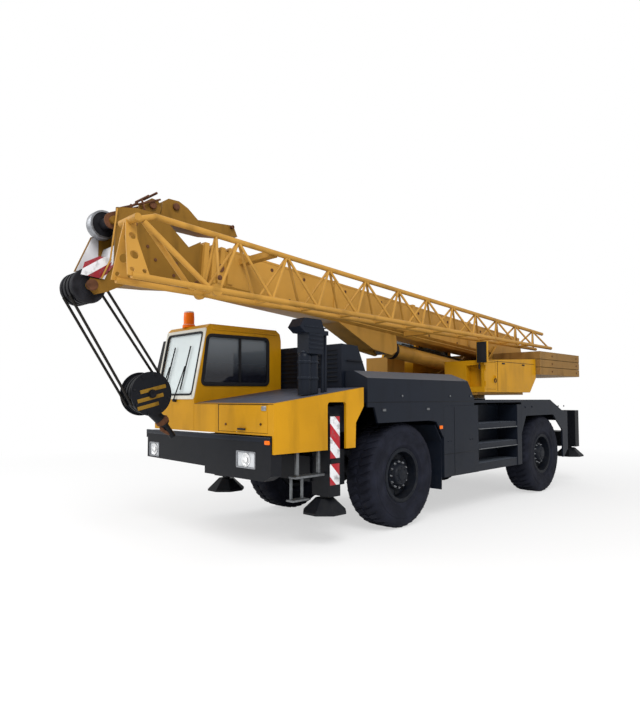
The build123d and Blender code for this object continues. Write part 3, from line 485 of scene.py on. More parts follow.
def turned(profile, centre, axis, steps=48):
    """Solid of revolution through the points of a profile about an axis through a centre."""
    piece = chain(profile)
    bpy.ops.mesh.spin(steps=steps, angle=2 * pi, center=centre, axis=axis)
    bpy.ops.mesh.select_all(action="SELECT")
    bpy.ops.mesh.remove_doubles(threshold=0.0002)
    bpy.ops.mesh.normals_make_consistent(inside=False)
    bpy.ops.object.mode_set(mode="OBJECT")
    pick(piece)
    bpy.ops.object.shade_smooth_by_angle(angle=radians(40))
    return piece


def moved(piece, place):
    """Moves a piece within its mesh by a matrix."""
    piece.matrix_world = place
    return settle(piece)


def copy_of(piece, place):
    """A copy with its own mesh, moved by a matrix."""
    pick(piece)
    bpy.ops.object.duplicate(linked=False)
    return moved(bpy.context.object, place)


def spread(piece, places):
    """The piece and its copies at further places, joined into one."""
    return join([piece] + [copy_of(piece, place) for place in places])


def around(piece, count):
    """The piece repeated evenly round a wheel's axle."""
    return spread(piece, [Matrix.Rotation(2 * pi * k / count, 4, "Y") for k in range(1, count)])


def join(pieces):
    """Several pieces as one mesh."""
    pick(pieces[0])
    for piece in pieces:
        piece.select_set(True)
    bpy.ops.object.join()
    return pieces[0]


def shift(x=0.0, y=0.0, z=0.0):
    return Matrix.Translation((x, y, z))


def turn_about(centre, axis, angle):
    """Matrix of a turn about an axis through a point."""
    centre = Vector(centre)
    return Matrix.Translation(centre) @ Matrix.Rotation(angle, 4, Vector(axis)) @ Matrix.Translation(-centre)


def fit(piece, name, body, finish):
    """Names a finished piece, or several joined, gives it its finish and lets it ride on a body."""
    if isinstance(piece, list):
        piece = join(piece)
    piece.name = name
    piece.data.name = name
    piece.data.materials.clear()
    piece.data.materials.append(palette[finish])
    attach(piece, body)
    return piece


def side_outline(y, *pairs):
    """Points of a side outline given as x and z."""
    return [(x, y, z) for x, z in pairs]


def middle(node):
    """Middle of a CAD node's box."""
    low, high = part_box(node)
    return (Vector(low) + Vector(high)) / 2


# ---- wheels --------------------------------------------------------------------------------------
corners = ("front_left", "front_right", "rear_left", "rear_right")
carcass = [(0.165, 0.318), (0.178, 0.345), (0.187, 0.353), (0.197, 0.374), (0.207, 0.382), (0.210, 0.392),
           (0.206, 0.402), (0.214, 0.435), (0.2205, 0.475), (0.2225, 0.520), (0.2218, 0.542),
           (0.2170, 0.547), (0.2200, 0.553), (0.2165, 0.585), (0.2090, 0.612), (0.2000, 0.630),
           (0.1950, 0.640)]
crown = [(0.1750, 0.6635), (0.1200, 0.6675), (0.0600, 0.6690)]
lug_inner = [(0.012, 0.646), (0.012, 0.669), (0.070, 0.669)]
lug_shoulder = [(0.160, 0.6655), (0.192, 0.648), (0.205, 0.622), (0.2085, 0.602), (0.202, 0.598),
                (0.190, 0.630), (0.160, 0.642)]
lug_half = 0.031
lug_lean = 24.0


class CRANE_OT_tyres(bpy.types.Operator):
    """Model one tyre with its sidewall rings and shoulder lugs and fit it to the four wheels"""
    bl_idname = "crane.tyres"
    bl_label = "Fit the tyres"

    def execute(self, context):
        count = context.scene.crane_sizes.lug_count
        depth = context.scene.crane_sizes.lug_height
        half = carcass + [(y, r - depth) for y, r in crown]
        profile = [(0, y, r) for y, r in half] + [(0, -y, r) for y, r in reversed(half)]
        body = turned(profile, (0, 0, 0), (0, 1, 0), 72)
        lug = plate([(-lug_half, y, r) for y, r in lug_inner + lug_shoulder], (2 * lug_half, 0, 0), 0.004)
        moved(lug, turn_about((0, 0.10, 0.66), (0, 0, 1), radians(lug_lean)))
        row = around(lug, count)
        other = copy_of(row, Matrix.Rotation(pi / count, 4, "Y") @ Matrix.Rotation(pi, 4, "Z"))
        tyre = join([body, row, other])
        pieces = [tyre] + [copy_of(tyre, shift(*middle(f"tyre_{corner}"))) for corner in corners[1:]]
        moved(tyre, shift(*middle("tyre_front_left")))
        for piece, corner in zip(pieces, corners):
            fit(piece, f"tread_{corner}", f"wheel_{corner}", "tyre")
            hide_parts(f"tyre_{corner}")
        return {"FINISHED"}


nut_count, hub_bolt_count, hand_hole_count = 12, 8, 10


class CRANE_OT_wheels(bpy.types.Operator):
    """Put the nuts, hub bolts and the hand holes' rings on the four rims"""
    bl_idname = "crane.wheels"
    bl_label = "Trim the wheels"

    def execute(self, context):
        across = context.scene.crane_sizes.bolt / 2
        nut = join([bar((0, 0.110, 0.165), (0, 0.134, 0.165), across + 0.004, 6, 0.002),
                    bar((0, 0.130, 0.165), (0, 0.148, 0.165), 0.009, 10, 0.002)])
        nuts = around(nut, nut_count)
        bolt = bar((0, 0.176, 0.092), (0, 0.188, 0.092), across - 0.002, 6, 0.002)
        bolts = around(bolt, hub_bolt_count)
        cap = turned([(0, 0.178, 0.072), (0, 0.190, 0.066), (0, 0.194, 0.040), (0, 0.197, 0.0)],
                     (0, 0, 0), (0, 1, 0), 32)
        hole = turned([(0, 0.068, 0.256), (0, 0.079, 0.253), (0, 0.079, 0.246), (0, 0.073, 0.243),
                       (0, 0.073, 0.228)], (0, 0, 0.228), (0, 1, 0), 20)
        holes = around(hole, hand_hole_count)
        lip = turned([(0, 0.184, 0.318), (0, 0.1905, 0.322), (0, 0.1905, 0.338), (0, 0.186, 0.345)],
                     (0, 0, 0), (0, 1, 0), 64)
        for finish, pieces, kind in (("rim", [bolts, cap, lip], "hub"), ("steel_worn", [nuts], "nuts"),
                                     ("black", [holes], "hand_holes")):
            whole = join(pieces)
            for corner in corners:
                turn = Matrix.Identity(4) if corner.endswith("left") else Matrix.Rotation(pi, 4, "Z")
                piece = copy_of(whole, shift(*middle(f"tyre_{corner}")) @ turn)
                fit(piece, f"{kind}_{corner}", f"wheel_{corner}", finish)
            bpy.data.objects.remove(whole)
        return {"FINISHED"}


# ---- cab, nose and bumper ------------------------------------------------------------------------
screen_foot = Vector((3.23, 0, 1.64))
screen_up = Vector((-0.18, 0, 0.885)).normalized()
screen_out = Vector((0.885, 0, 0.18)).normalized()


def on_screen(y, rise, out=0.0):
    """Point on the windscreen's slope, so far up it and so far out of it."""
    return screen_foot + screen_up * rise + screen_out * out + Vector((0, y, 0))


class CRANE_OT_cab(bpy.types.Operator):
    """Frame the carrier cab's windows and fit its wipers, handles and gutter"""
    bl_idname = "crane.cab"
    bl_label = "Trim the cab"

    def execute(self, context):
        corners_of = ((-1.128, 0.004), (-0.222, 0.004), (-0.222, 0.898), (-1.128, 0.898))
        fit(surround([on_screen(y, s, 0.004) for y, s in corners_of], 0.052, 0.014, 0.03),
            "screen_frame", "carrier", "cream")
        inner = ((-1.084, 0.050), (-0.266, 0.050), (-0.266, 0.856), (-1.084, 0.856))
        fit(surround([on_screen(y, s, 0.006) for y, s in inner], 0.024, 0.022, 0.06),
            "screen_rubber", "carrier", "trim")
        window_line = side_outline(-0.218, (2.070, 1.815), (3.142, 1.805), (3.056, 2.450), (2.070, 2.460))
        fit(surround(window_line, 0.040, 0.022, 0.075), "side_window_rubber", "carrier", "trim")
        slide = [slab((2.530, -0.236, 1.850), (2.562, -0.216, 2.430), 0.004),
                 slab((2.085, -0.240, 1.838), (3.100, -0.224, 1.856), 0.003),
                 slab((2.085, -0.240, 2.418), (3.030, -0.224, 2.434), 0.003)]
        fit(slide, "sliding_window_frame", "carrier", "trim")
        wipers = []
        for y, lean in ((-0.98, 0.10), (-0.62, 0.10)):
            wipers.append(bar(on_screen(y, -0.01, 0.035), on_screen(y + lean, 0.42, 0.022), 0.008, 10))
            wipers.append(slab((-0.007, -0.006, -0.28), (0.007, 0.006, 0.28), 0.002))
            moved(wipers[-1], Matrix.Translation(on_screen(y + lean, 0.40, 0.012))
                  @ Matrix.Rotation(radians(-11.5), 4, "Y") @ Matrix.Rotation(radians(-6), 4, "X"))
            wipers.append(bar(on_screen(y, -0.015, 0.0), on_screen(y, -0.015, 0.045), 0.018, 14))
        fit(wipers, "wipers", "carrier", "trim")
        gutter = [slab((1.95, -0.226, 2.500), (2.98, -0.208, 2.516), 0.004),
                  slab((1.95, -1.142, 2.500), (2.98, -1.124, 2.516), 0.004)]
        fit(gutter, "roof_gutter", "carrier", "yellow")
        rail = []
        for z in (1.95, 2.35):
            rail.append(stud((2.06, -1.132, z), (0, -0.053, 0), 0.010, 12))
        rail.append(bar((2.06, -1.180, 1.935), (2.06, -1.180, 2.365), 0.012, 12))
        grip = slab((2.16, -1.150, 1.62), (2.30, -1.128, 1.66), 0.006)
        fit(rail + [grip], "door_handles", "cab_door", "trim")
        hinges = [bar((3.150, -1.136, z - 0.05), (3.150, -1.136, z + 0.05), 0.012, 12) for z in (1.45, 1.60)]
        fit(hinges, "door_hinges", "cab_door", "yellow")
        door_line = side_outline(-1.132, (2.120, 1.815), (3.085, 1.808), (3.018, 2.408), (2.120, 2.410))
        fit(surround(door_line, 0.034, 0.018, 0.07), "door_window_rubber", "cab_door", "trim")
        mirror_line = side_outline(-1.160, (2.970, 2.415), (3.050, 2.420), (3.150, 2.010), (3.010, 1.975))
        fit(surround(mirror_line, 0.012, 0.008, 0.01), "mirror_rim", "cab_door", "trim")
        dome = ((0, 0.0), (0.083, 0.0), (0.083, 0.030), (0.072, 0.042), (0.068, 0.060), (0.069, 0.120),
                (0.066, 0.190), (0.052, 0.213), (0, 0.218))
        beacon = turned([(r, 0, z) for r, z in dome], (0, 0, 0), (0, 0, 1), 32)
        fit(moved(beacon, shift(2.96, -0.77, 2.568)), "beacon_dome", "carrier", "amber")
        return {"FINISHED"}


class CRANE_OT_front(bpy.types.Operator):
    """Fit the headlamps, the bumper's lip and steps, and the nose's catches, bolts and plate"""
    bl_idname = "crane.front"
    bl_label = "Trim the nose"

    def execute(self, context):
        dish = ((3.240, 1.005), (3.2395, 1.040), (3.243, 1.066), (3.2465, 1.070), (3.2465, 1.078),
                (3.238, 1.080))
        glow = ((3.254, 1.005), (3.252, 1.022), (3.244, 1.032))
        frames, dishes, glows = [], [], []
        for y, half in ((0.805, 0.165), (-1.110, 0.120)):
            frames.append(surround([(3.243, y - half, 0.915), (3.243, y + half, 0.915),
                                    (3.243, y + half, 1.095), (3.243, y - half, 1.095)], 0.016, 0.012, 0.012))
            centre = (3.24, y, 1.005)
            dishes.append(turned(side_outline(y, *dish), centre, (1, 0, 0), 28))
            glows.append(turned(side_outline(y, *glow), centre, (1, 0, 0), 20))
        fit(frames, "lamp_frames", "carrier", "steel_worn")
        fit(dishes, "lamp_dishes", "carrier", "chrome")
        fit(glows, "lamp_bulbs", "carrier", "bulb")
        lip = [slab((3.222, -1.312, 1.240), (3.250, 1.214, 1.252), 0.004),
               slab((3.238, -1.312, 1.200), (3.250, 1.214, 1.246), 0.004)]
        fit(lip, "bumper_lip", "carrier", "navy")
        marker = [slab((3.244, 1.130, 1.180), (3.262, 1.205, 1.222), 0.006),
                  slab((3.10, 1.216, 1.175), (3.20, 1.226, 1.215), 0.005)]
        fit(marker, "side_markers", "carrier", "amber")
        steps_low = [slab((2.46, 1.10, 0.802), (2.90, 1.215, 0.826), 0.005),
                     slab((2.66, 1.06, 0.552), (2.90, 1.17, 0.574), 0.005),
                     slab((2.70, 1.100, 0.560), (2.73, 1.120, 0.815), 0.004),
                     slab((2.86, 1.100, 0.560), (2.89, 1.120, 0.815), 0.004),
                     slab((2.50, 1.150, 0.810), (2.54, 1.180, 1.10), 0.004),
                     slab((2.82, 1.150, 0.810), (2.86, 1.180, 1.10), 0.004)]
        fit(steps_low, "entry_steps", "carrier", "worn_edge")
        catches = [stud((3.228, y, z), (0.014, 0, 0), 0.013, 12) for y, z in ((0.43, 1.37), (1.04, 1.385))]
        fit(catches, "lid_bolts", "locker_lid", "rust")
        fit(slab((3.236, 0.66, 1.316), (3.252, 0.79, 1.336), 0.004), "lid_catch", "locker_lid", "trim")
        badge = slab((3.228, 1.052, 1.525), (3.237, 1.128, 1.575), 0.003)
        fit(badge, "blank_plate", "locker_lid", "steel_worn")
        seams = [slab((3.226, 0.280, 1.285), (3.2325, 0.286, 1.592), 0.001),
                 slab((3.226, -0.206, 1.590), (3.2325, 1.236, 1.596), 0.001)]
        fit(seams, "nose_seams", "carrier", "trim")
        deck = plate(side_outline(-0.200, (1.850, 1.7815), (3.196, 1.6065), (3.196, 1.5995), (1.850, 1.7745)),
                     (0, 1.410, 0), 0.001)
        fit(deck, "hood_deck", "carrier", "deck")
        return {"FINISHED"}


# ---- outriggers and carrier sides ----------------------------------------------------------------
side_y = 1.25


def side_sheet(hand, x0, x1, z0, z1, sunk, proud, edge=0.004):
    """Sheet on one side of the carrier, sunk in and standing proud by so much."""
    return slab((x0, hand * (side_y - sunk), z0), (x1, hand * (side_y + proud), z1), edge)


def side_head(hand, x, z, proud, *shape):
    """Round or hexagonal head on one side of the carrier."""
    return stud((x, hand * (side_y - 0.002), z), (0, hand * (proud + 0.002), 0), *shape)


class CRANE_OT_sides(bpy.types.Operator):
    """Fit the striped outrigger plates, reflectors, latches, seams, treads and clamps of the carrier"""
    bl_idname = "crane.sides"
    bl_label = "Trim the carrier's sides"

    def execute(self, context):
        boards = join([slab((2.262, 1.243, 0.985), (2.412, 1.251, 1.450), 0.002),
                       slab((2.268, 1.243, 0.690), (2.418, 1.251, 0.925), 0.002)])
        fit(boards, "striped_boards_left", "outrigger_front_left", "stripes")
        fit(slab((2.062, -1.251, 0.69), (2.212, -1.243, 1.21), 0.002), "striped_board_right",
            "outrigger_front_right", "stripes")
        hooks = [slab((2.27, 1.240, 0.935), (2.41, 1.256, 0.972), 0.004)]
        fit(hooks, "board_clamp", "outrigger_front_left", "black")
        spots, catches, treads, seams, bolts = [], [], [], [], []
        for hand in (1, -1):
            spots.append(side_sheet(hand, 0.195, 0.265, 1.230, 1.275, 0.004, 0.010))
            catches += [side_sheet(hand, x - 0.030, x + 0.030, 1.492, 1.522, 0.004, 0.012) for x in (1.468, 0.535)]
            catches += [side_head(hand, x, 1.68, 0.012, 0.014, 12) for x in (1.10, 0.00, -0.55)]
            treads += [side_sheet(hand, -1.985, -0.775, z - 0.004, z + 0.010, 0.05, 0.006) for z in (0.885, 1.185)]
            for span in ((-0.115, -0.107, 0.575, 1.530), (-0.640, 0.150, 0.870, 0.878),
                         (-0.640, 1.770, 1.600, 1.608)):
                seams.append(side_sheet(hand, *span, 0.003, 0.003, 0.001))
            bolts += [side_head(hand, x, 1.50, 0.010, 0.016, 6, 0.002) for x in (-2.30, -2.55, -3.60, -3.85)]
            bolts += [side_head(hand, x, 1.05, 0.008, 0.010, 6, 0.002) for x in (0.05, -0.02, -0.60, -0.53)]
        fit(spots, "side_reflectors", "carrier", "amber")
        fit(catches, "side_catches", "carrier", "worn_edge")
        fit(treads, "step_treads", "carrier", "worn_edge")
        fit(seams, "side_seams", "carrier", "black")
        fit(bolts, "side_bolts", "carrier", "navy")
        bands = []
        for x in (2.50, 2.61):
            for z in (1.86, 2.04):
                band = side_outline(1.04, (x + 0.074, z), (x + 0.083, z + 0.003), (x + 0.083, z + 0.027),
                                    (x + 0.074, z + 0.030))
                bands.append(turned(band, (x, 1.04, z), (0, 0, 1), 32))
        for z in (2.20, 2.25, 2.30, 2.35):
            bands.append(slab((2.405, 1.128, z), (2.625, 1.142, z + 0.022), 0.003))
        bands.append(slab((2.362, 1.10, 2.44), (2.70, 1.146, 2.452), 0.003))
        fit(bands, "intake_bands", "carrier", "navy")
        slats = [slab((1.812, -0.80, 1.86 + 0.055 * k), (1.830, 0.80, 1.878 + 0.055 * k)) for k in range(8)]
        fit(slats, "engine_grille", "carrier", "black")
        handles = [stud((x, 0.866, 2.12), (0, 0.029, 0), 0.008, 10) for x in (1.46, 1.72)]
        handles.append(bar((1.45, 0.890, 2.12), (1.73, 0.890, 2.12), 0.009, 10))
        fit(handles, "cover_handle", "carrier", "black")
        return {"FINISHED"}


# ---- boom head, jib, hook and upper works --------------------------------------------------------
boom_foot = Vector((-3.93, 0, 2.44))
boom_along = Vector((cos(radians(4.2)), 0, sin(radians(4.2))))
boom_square = Vector((-sin(radians(4.2)), 0, cos(radians(4.2))))


def on_boom(u, y, v):
    """Point so far along the boom from its foot pin, to the left of it and square to it."""
    return boom_foot + boom_along * u + boom_square * v + Vector((0, y, 0))


def boom_outline(y, *pairs):
    """Points of an outline beside the boom, given along it and square to it."""
    return [on_boom(u, y, v) for u, v in pairs]


class CRANE_OT_head(bpy.types.Operator):
    """Dress the boom head: white panels, striped board, sheave covers, rope guards and pins"""
    bl_idname = "crane.head"
    bl_label = "Dress the boom head"

    def execute(self, context):
        far = plate(boom_outline(-0.180, (8.388, -0.055), (8.618, -0.112), (8.484, 0.272), (8.416, 0.290)),
                    (0, 0.004, 0), 0.001)
        face = plate(boom_outline(-0.178, (8.397, -0.070), (8.400, -0.066), (8.3535, 0.175), (8.3495, 0.175)),
                     (0, 0.356, 0), 0.001)
        fit([far, face], "head_panels", "section_3", "white")
        board = plate(boom_outline(-0.205, (8.399, -0.062), (8.4045, -0.062), (8.4470, -0.134),
                                   (8.4415, -0.137)), (0, 0.425, 0), 0.002)
        near = plate(side_outline(0.216, (4.460, 3.050), (4.602, 3.054), (4.749, 2.972), (4.784, 2.848),
                                  (4.548, 2.832)), (0, 0.005, 0), 0.001)
        fit([board, near], "head_board", "section_3", "head_stripes")
        low = on_boom(8.610, 0, -0.315)
        cover = turned([low + Vector((0, y, r)) for y, r in
                        ((0.150, 0.172), (0.172, 0.166), (0.172, 0.150), (0.168, 0.142), (0.168, 0.095),
                         (0.176, 0.088), (0.176, 0.0))], low, (0, 1, 0), 40)
        fit(cover, "sheave_cover_near", "section_3", "iron")
        pin = [stud(low + Vector((0, y, 0)), (0, 0.047, 0), 0.055, 20, 0.006) for y in (0.215, -0.262)]
        top = on_boom(8.432, 0, 0.396)
        pin += [stud(top + Vector((0, y, 0)), (0, 0.020, 0), 0.085, 24, 0.004) for y in (0.150, -0.170)]
        fit(pin, "head_pins", "section_3", "rust")
        rim = turned([top + Vector((0, y, r)) for y, r in
                      ((-0.128, 0.128), (-0.128, 0.146), (-0.118, 0.150), (-0.022, 0.150), (-0.014, 0.146),
                       (-0.014, 0.128))], top, (0, 1, 0), 40)
        fit(rim, "top_sheave_rim", "section_3", "steel_worn")
        line = side_outline(0.235, (4.435, 3.566), (4.500, 3.027), (4.588, 2.830))
        guard = [bar(before, after, 0.009, 10, 0.002) for before, after in zip(line, line[1:])]
        fit(guard, "rope_guard_rod", "section_3", "faded")
        rods = []
        for u, v in ((8.18, 0.66), (8.24, 0.60), (8.30, 0.53), (7.97, 0.84), (8.06, 0.78)):
            rods.append(bar(on_boom(u, -0.13, v), on_boom(u, 0.16, v), 0.013, 12))
        for y in (-0.12, 0.12):
            rods.append(bar(on_boom(7.90, y, 0.80), on_boom(8.34, y, 0.57), 0.011, 10))
            rods.append(bar(on_boom(8.06, y, 0.60), on_boom(8.12, y, 0.74), 0.012, 10))
            rods.append(bar(on_boom(8.26, y, 0.50), on_boom(8.28, y, 0.61), 0.012, 10))
        rods.append(bar(on_boom(6.93, -0.11, 0.77), on_boom(6.93, 0.13, 0.77), 0.022, 14))
        for u, v in ((7.97, 0.72), (7.69, 0.79)):
            rods.append(bar(on_boom(u, 0.084, v), on_boom(u, 0.112, v), 0.040, 20, 0.005))
        fit(rods, "head_rods", "section_3", "rust")
        places = ((7.70, 0.12), (7.84, 0.30), (7.95, 0.10), (8.20, 0.42), (8.05, 0.22), (7.72, -0.02))
        studs = [stud(spot, (0, 0.010, 0), 0.020, 6, 0.003) for spot in boom_outline(0.204, *places)]
        fit(studs, "head_bolts", "section_3", "rust")
        return {"FINISHED"}


lift_foot = Vector((-2.98, 0, 2.14))
lift_eye = on_boom(3.82, 0, -0.290)


class CRANE_OT_boom(bpy.types.Operator):
    """Fit the boom's wear pad plugs, seams, the jib's pins and the lift cylinder's gland"""
    bl_idname = "crane.boom"
    bl_label = "Trim boom and jib"

    def execute(self, context):
        plugs = []
        for u in (1.0, 2.1, 2.95, 3.9, 4.7, 5.5, 6.05):
            for hand in (1, -1):
                for v in (0.34, 0.02):
                    plugs.append(stud(on_boom(u + v, hand * 0.2475, v), (0, hand * 0.009, 0),
                                      0.022 if v > 0.1 else 0.016, 20, 0.002))
        fit(plugs, "boom_plugs", "boom", "rust")
        tips = [stud(on_boom(7.15, hand * 0.249, 0.19), (0, hand * 0.013, 0), 0.045, 28) for hand in (1, -1)]
        fit(tips, "tip_plugs", "section_1", "rust")
        ridges = []
        for hand in (1, -1):
            for v in (-0.060, 0.412):
                strip = boom_outline(hand * 0.2495, (0.2, v), (6.95, v), (6.95, v + 0.012), (0.2, v + 0.012))
                ridges.append(plate(strip, (0, hand * 0.005, 0), 0.001))
        fit(ridges, "boom_ridges", "boom", "faded")
        pins = []
        for y in (0.670, 1.030):
            out = 1 if y > 0.9 else -1
            pins.append(bar((3.765, y + out * 0.020, 2.838), (3.765, y + out * 0.034, 2.838), 0.026, 16))
        fit(pins, "jib_pins", "boom", "rust")
        gland = turned([(0, 0.112, 0), (0, 0.134, 0.004), (0, 0.138, 0.016), (0, 0.138, 0.074),
                        (0, 0.134, 0.086), (0, 0.090, 0.090), (0, 0.080, 0.090)], (0, 0, 0), (0, 0, 1), 40)
        reach = lift_eye - lift_foot
        along, length = reach.normalized(), reach.length
        turn = along.to_track_quat("Z", "Y").to_matrix().to_4x4()
        moved(gland, Matrix.Translation(lift_foot + along * (length - 0.226)) @ turn)
        fit(gland, "lift_gland", "lift_barrel", "black")
        hose = []
        for y in (0.05, -0.05):
            start = lift_foot + along * 0.35 + Vector((0, y, 0.135))
            hose.append(bar(start, start + along * (length - 0.75), 0.012, 10))
        for part in (0.35, 1.1, 1.9):
            clamp = slab((-0.012, -0.075, -0.010), (0.012, 0.075, 0.022), 0.003)
            hose.append(moved(clamp, Matrix.Translation(lift_foot + along * part + Vector((0, 0, 0.130)))))
        fit(hose, "lift_pipes", "lift_barrel", "rope")
        return {"FINISHED"}


class CRANE_OT_hook(bpy.types.Operator):
    """Fit the hook block's striped cheeks, bolts and the hook's jaw"""
    bl_idname = "crane.hook"
    bl_label = "Dress the hook block"

    def execute(self, context):
        centre = Vector((3.97, 0, 1.705))
        bars = []
        for hand in (1, -1):
            for rise in (-0.130, -0.045, 0.050):
                half = 0.17 - 0.35 * abs(rise)
                strip = slab((-half, -0.003, -0.020), (half, 0.003, 0.020), 0.002)
                place = Matrix.Translation(centre + Vector((-0.3 * rise, hand * 0.1275, rise)))
                bars.append(moved(strip, place @ Matrix.Rotation(radians(14), 4, "Y")))
        fit(bars, "block_stripes", "hook", "dull_yellow")
        bolts = []
        for hand in (1, -1):
            for k in range(8):
                angle = 2 * pi * k / 8 + 0.2
                spot = centre + Vector((0.205 * cos(angle), hand * 0.122, 0.205 * sin(angle)))
                bolts.append(stud(spot, (0, hand * 0.016, 0), 0.013, 6, 0.002))
            bolts.append(stud(centre + Vector((0, hand * 0.150, 0)), (0, hand * 0.016, 0), 0.038, 20))
        fit(bolts, "block_bolts", "hook", "iron")
        jaw = turned([(0, 0, 0.0), (0.062, 0, 0.0), (0.074, 0, 0.014), (0.074, 0, 0.050), (0.060, 0, 0.066),
                      (0.030, 0, 0.072), (0, 0, 0.074)], (0, 0, 0), (0, 0, 1), 24)
        along = Vector((0.13, 0, 0.17)).normalized().to_track_quat("Z", "Y").to_matrix().to_4x4()
        moved(jaw, Matrix.Translation((3.755, 0, 1.385)) @ along)
        fit(jaw, "hook_nut", "hook", "rust")
        tongue = plate(side_outline(-0.022, (3.660, 1.255), (3.700, 1.250), (3.790, 1.300), (3.800, 1.345),
                                    (3.770, 1.340), (3.755, 1.312), (3.690, 1.285)), (0, 0.044, 0), 0.008)
        fit(tongue, "hook_jaw", "hook", "rust")
        return {"FINISHED"}


class CRANE_OT_upper(bpy.types.Operator):
    """Trim the upper works: the box's catches and hinges, the cab's window rubbers, rails and seams"""
    bl_idname = "crane.upper"
    bl_label = "Trim the upper works"

    def execute(self, context):
        ring = turned([(0, -0.004, 0.026), (0, 0.006, 0.027), (0, 0.006, 0.036), (0, -0.004, 0.037)],
                      (0, 0, 0), (0, 1, 0), 24)
        fit(moved(ring, shift(-1.445, 1.173, 1.930)), "box_pull", "equipment_door", "trim")
        hinges = [bar((-1.158, 1.158, z - 0.04), (-1.158, 1.158, z + 0.04), 0.011, 12) for z in (1.88, 2.12)]
        fit(hinges, "box_hinges", "superstructure", "yellow")
        lines = [slab((-1.560, 1.1485, 1.760), (-1.553, 1.1535, 2.250), 0.001),
                 slab((-2.860, 1.1485, 2.236), (-1.070, 1.1535, 2.242), 0.001)]
        for x in (-1.75, -2.45):
            lines.append(slab((x - 0.045, 1.1485, 2.200), (x + 0.045, 1.158, 2.222), 0.002))
        fit(lines, "box_seams", "superstructure", "trim")
        face = surround([(-1.060, 1.072, 2.208), (-1.060, 1.228, 2.208), (-1.060, 1.228, 2.518),
                         (-1.060, 1.072, 2.518)], 0.014, 0.012, 0.03)
        arm = [bar((-1.075, 1.10, 2.10), (-1.075, 1.10, 2.24), 0.012, 12)]
        fit([face] + arm, "box_mirror_rim", "superstructure", "trim")
        mirror = slab((-1.070, 1.065, 2.200), (-1.058, 1.235, 2.525), 0.008)
        fit(mirror, "box_mirror_back", "superstructure", "trim")
        door = surround(side_outline(-1.1815, (-2.40, 2.25), (-1.62, 2.25), (-1.76, 2.93), (-2.40, 2.93)),
                        0.032, 0.014, 0.04)
        fit(door, "operator_door_rubber", "operator_door", "trim")
        front = surround([(-1.447, -1.10, 2.32), (-1.447, -0.50, 2.32), (-1.60, -0.50, 2.97),
                          (-1.60, -1.10, 2.97)], 0.03, 0.012, 0.04)
        fit(front, "operator_screen_rubber", "superstructure", "trim")
        left = surround(side_outline(-0.427, (-2.55, 2.31), (-1.57, 2.31), (-1.70, 2.95), (-2.55, 2.95)),
                        0.032, 0.014, 0.04)
        fit(left, "operator_side_rubber", "superstructure", "trim")
        grip = [bar((-1.66, -1.183, z), (-1.66, -1.215, z), 0.009, 10) for z in (1.95, 2.20)]
        grip.append(bar((-1.66, -1.210, 1.94), (-1.66, -1.210, 2.21), 0.010, 10))
        fit(grip, "operator_door_grip", "operator_door", "trim")
        joints = []
        for hand in (1, -1):
            for z in (2.065, 2.205, 2.345):
                for x in (-4.55, -3.45):
                    joints.append(stud((x, hand * 1.222, z + 0.065), (0, hand * 0.010, 0), 0.020, 6, 0.003))
        fit(joints, "weight_bolts", "superstructure", "rust")
        strand = ((-0.012, 0.104), (-0.006, 0.114), (0, 0.117), (0.006, 0.114), (0.012, 0.104))
        turns = []
        for k in range(15):
            centre = Vector((-3.43, 0.026 * k - 0.185, 2.185))
            turns.append(turned([centre + Vector((0, y, r)) for y, r in strand], centre, (0, 1, 0), 28))
        fit(turns, "winch_rope", "superstructure", "rope")
        return {"FINISHED"}


# ---- stage ---------------------------------------------------------------------------------------
camera_place = Vector((7.071, 5.761, 1.654))
camera_yaw, camera_pitch, camera_roll = 0.78688, 0.04843, -0.00225
camera_lens, camera_shift = 28.85, 0.0089


def combine(tree, operation, first, second):
    """Socket with two grey sockets put together by an operation."""
    node = tree.nodes.new("ShaderNodeMath")
    node.operation = operation
    tree.links.new(first, node.inputs[0])
    tree.links.new(second, node.inputs[1])
    return node.outputs[0]


def blend(tree, share, first, second):
    """Socket with two shaders mixed by a grey socket."""
    node = tree.nodes.new("ShaderNodeMixShader")
    for place, source in enumerate((share, first, second)):
        tree.links.new(source, node.inputs[place])
    return node.outputs[0]


def looked_at(tree):
    """Socket that is 1 for the camera and for what is seen through glass."""
    paths = tree.nodes.new("ShaderNodeLightPath").outputs
    return combine(tree, "MAXIMUM", paths["Is Camera Ray"], paths["Is Transmission Ray"])


def pale_floor(near, far, least):
    """Matte white floor that keeps the shadow near the crane and is plain white far from it."""
    material = bpy.data.materials.new("pale floor")
    material.use_nodes = True
    tree = material.node_tree
    shader = tree.nodes["Principled BSDF"]
    shader.inputs["Base Color"].default_value = (0.92, 0.92, 0.92, 1)
    shader.inputs["Roughness"].default_value = 0.9
    white = tree.nodes.new("ShaderNodeEmission")
    place = tree.nodes.new("ShaderNodeTexCoord")
    away = tree.nodes.new("ShaderNodeVectorMath")
    away.operation = "LENGTH"
    tree.links.new(place.outputs["Object"], away.inputs[0])
    share = tree.nodes.new("ShaderNodeMapRange")
    for key, value in (("From Min", near), ("From Max", far), ("To Min", least), ("To Max", 1.0)):
        share.inputs[key].default_value = value
    tree.links.new(away.outputs["Value"], share.inputs["Value"])
    amount = combine(tree, "MULTIPLY", share.outputs["Result"], looked_at(tree))
    tree.links.new(blend(tree, amount, shader.outputs[0], white.outputs[0]),
                   tree.nodes["Material Output"].inputs["Surface"])
    return material


def lamp(name, place, target, size, power):
    """Soft area lamp aimed at a point."""
    clear_selection()
    aim = (Vector(target) - Vector(place)).to_track_quat("-Z", "Y").to_euler()
    bpy.ops.object.light_add(type="AREA", location=place, rotation=aim)
    light = bpy.context.object
    light.name = name
    light.data.shape = "DISK"
    light.data.size = size
    light.data.energy = power


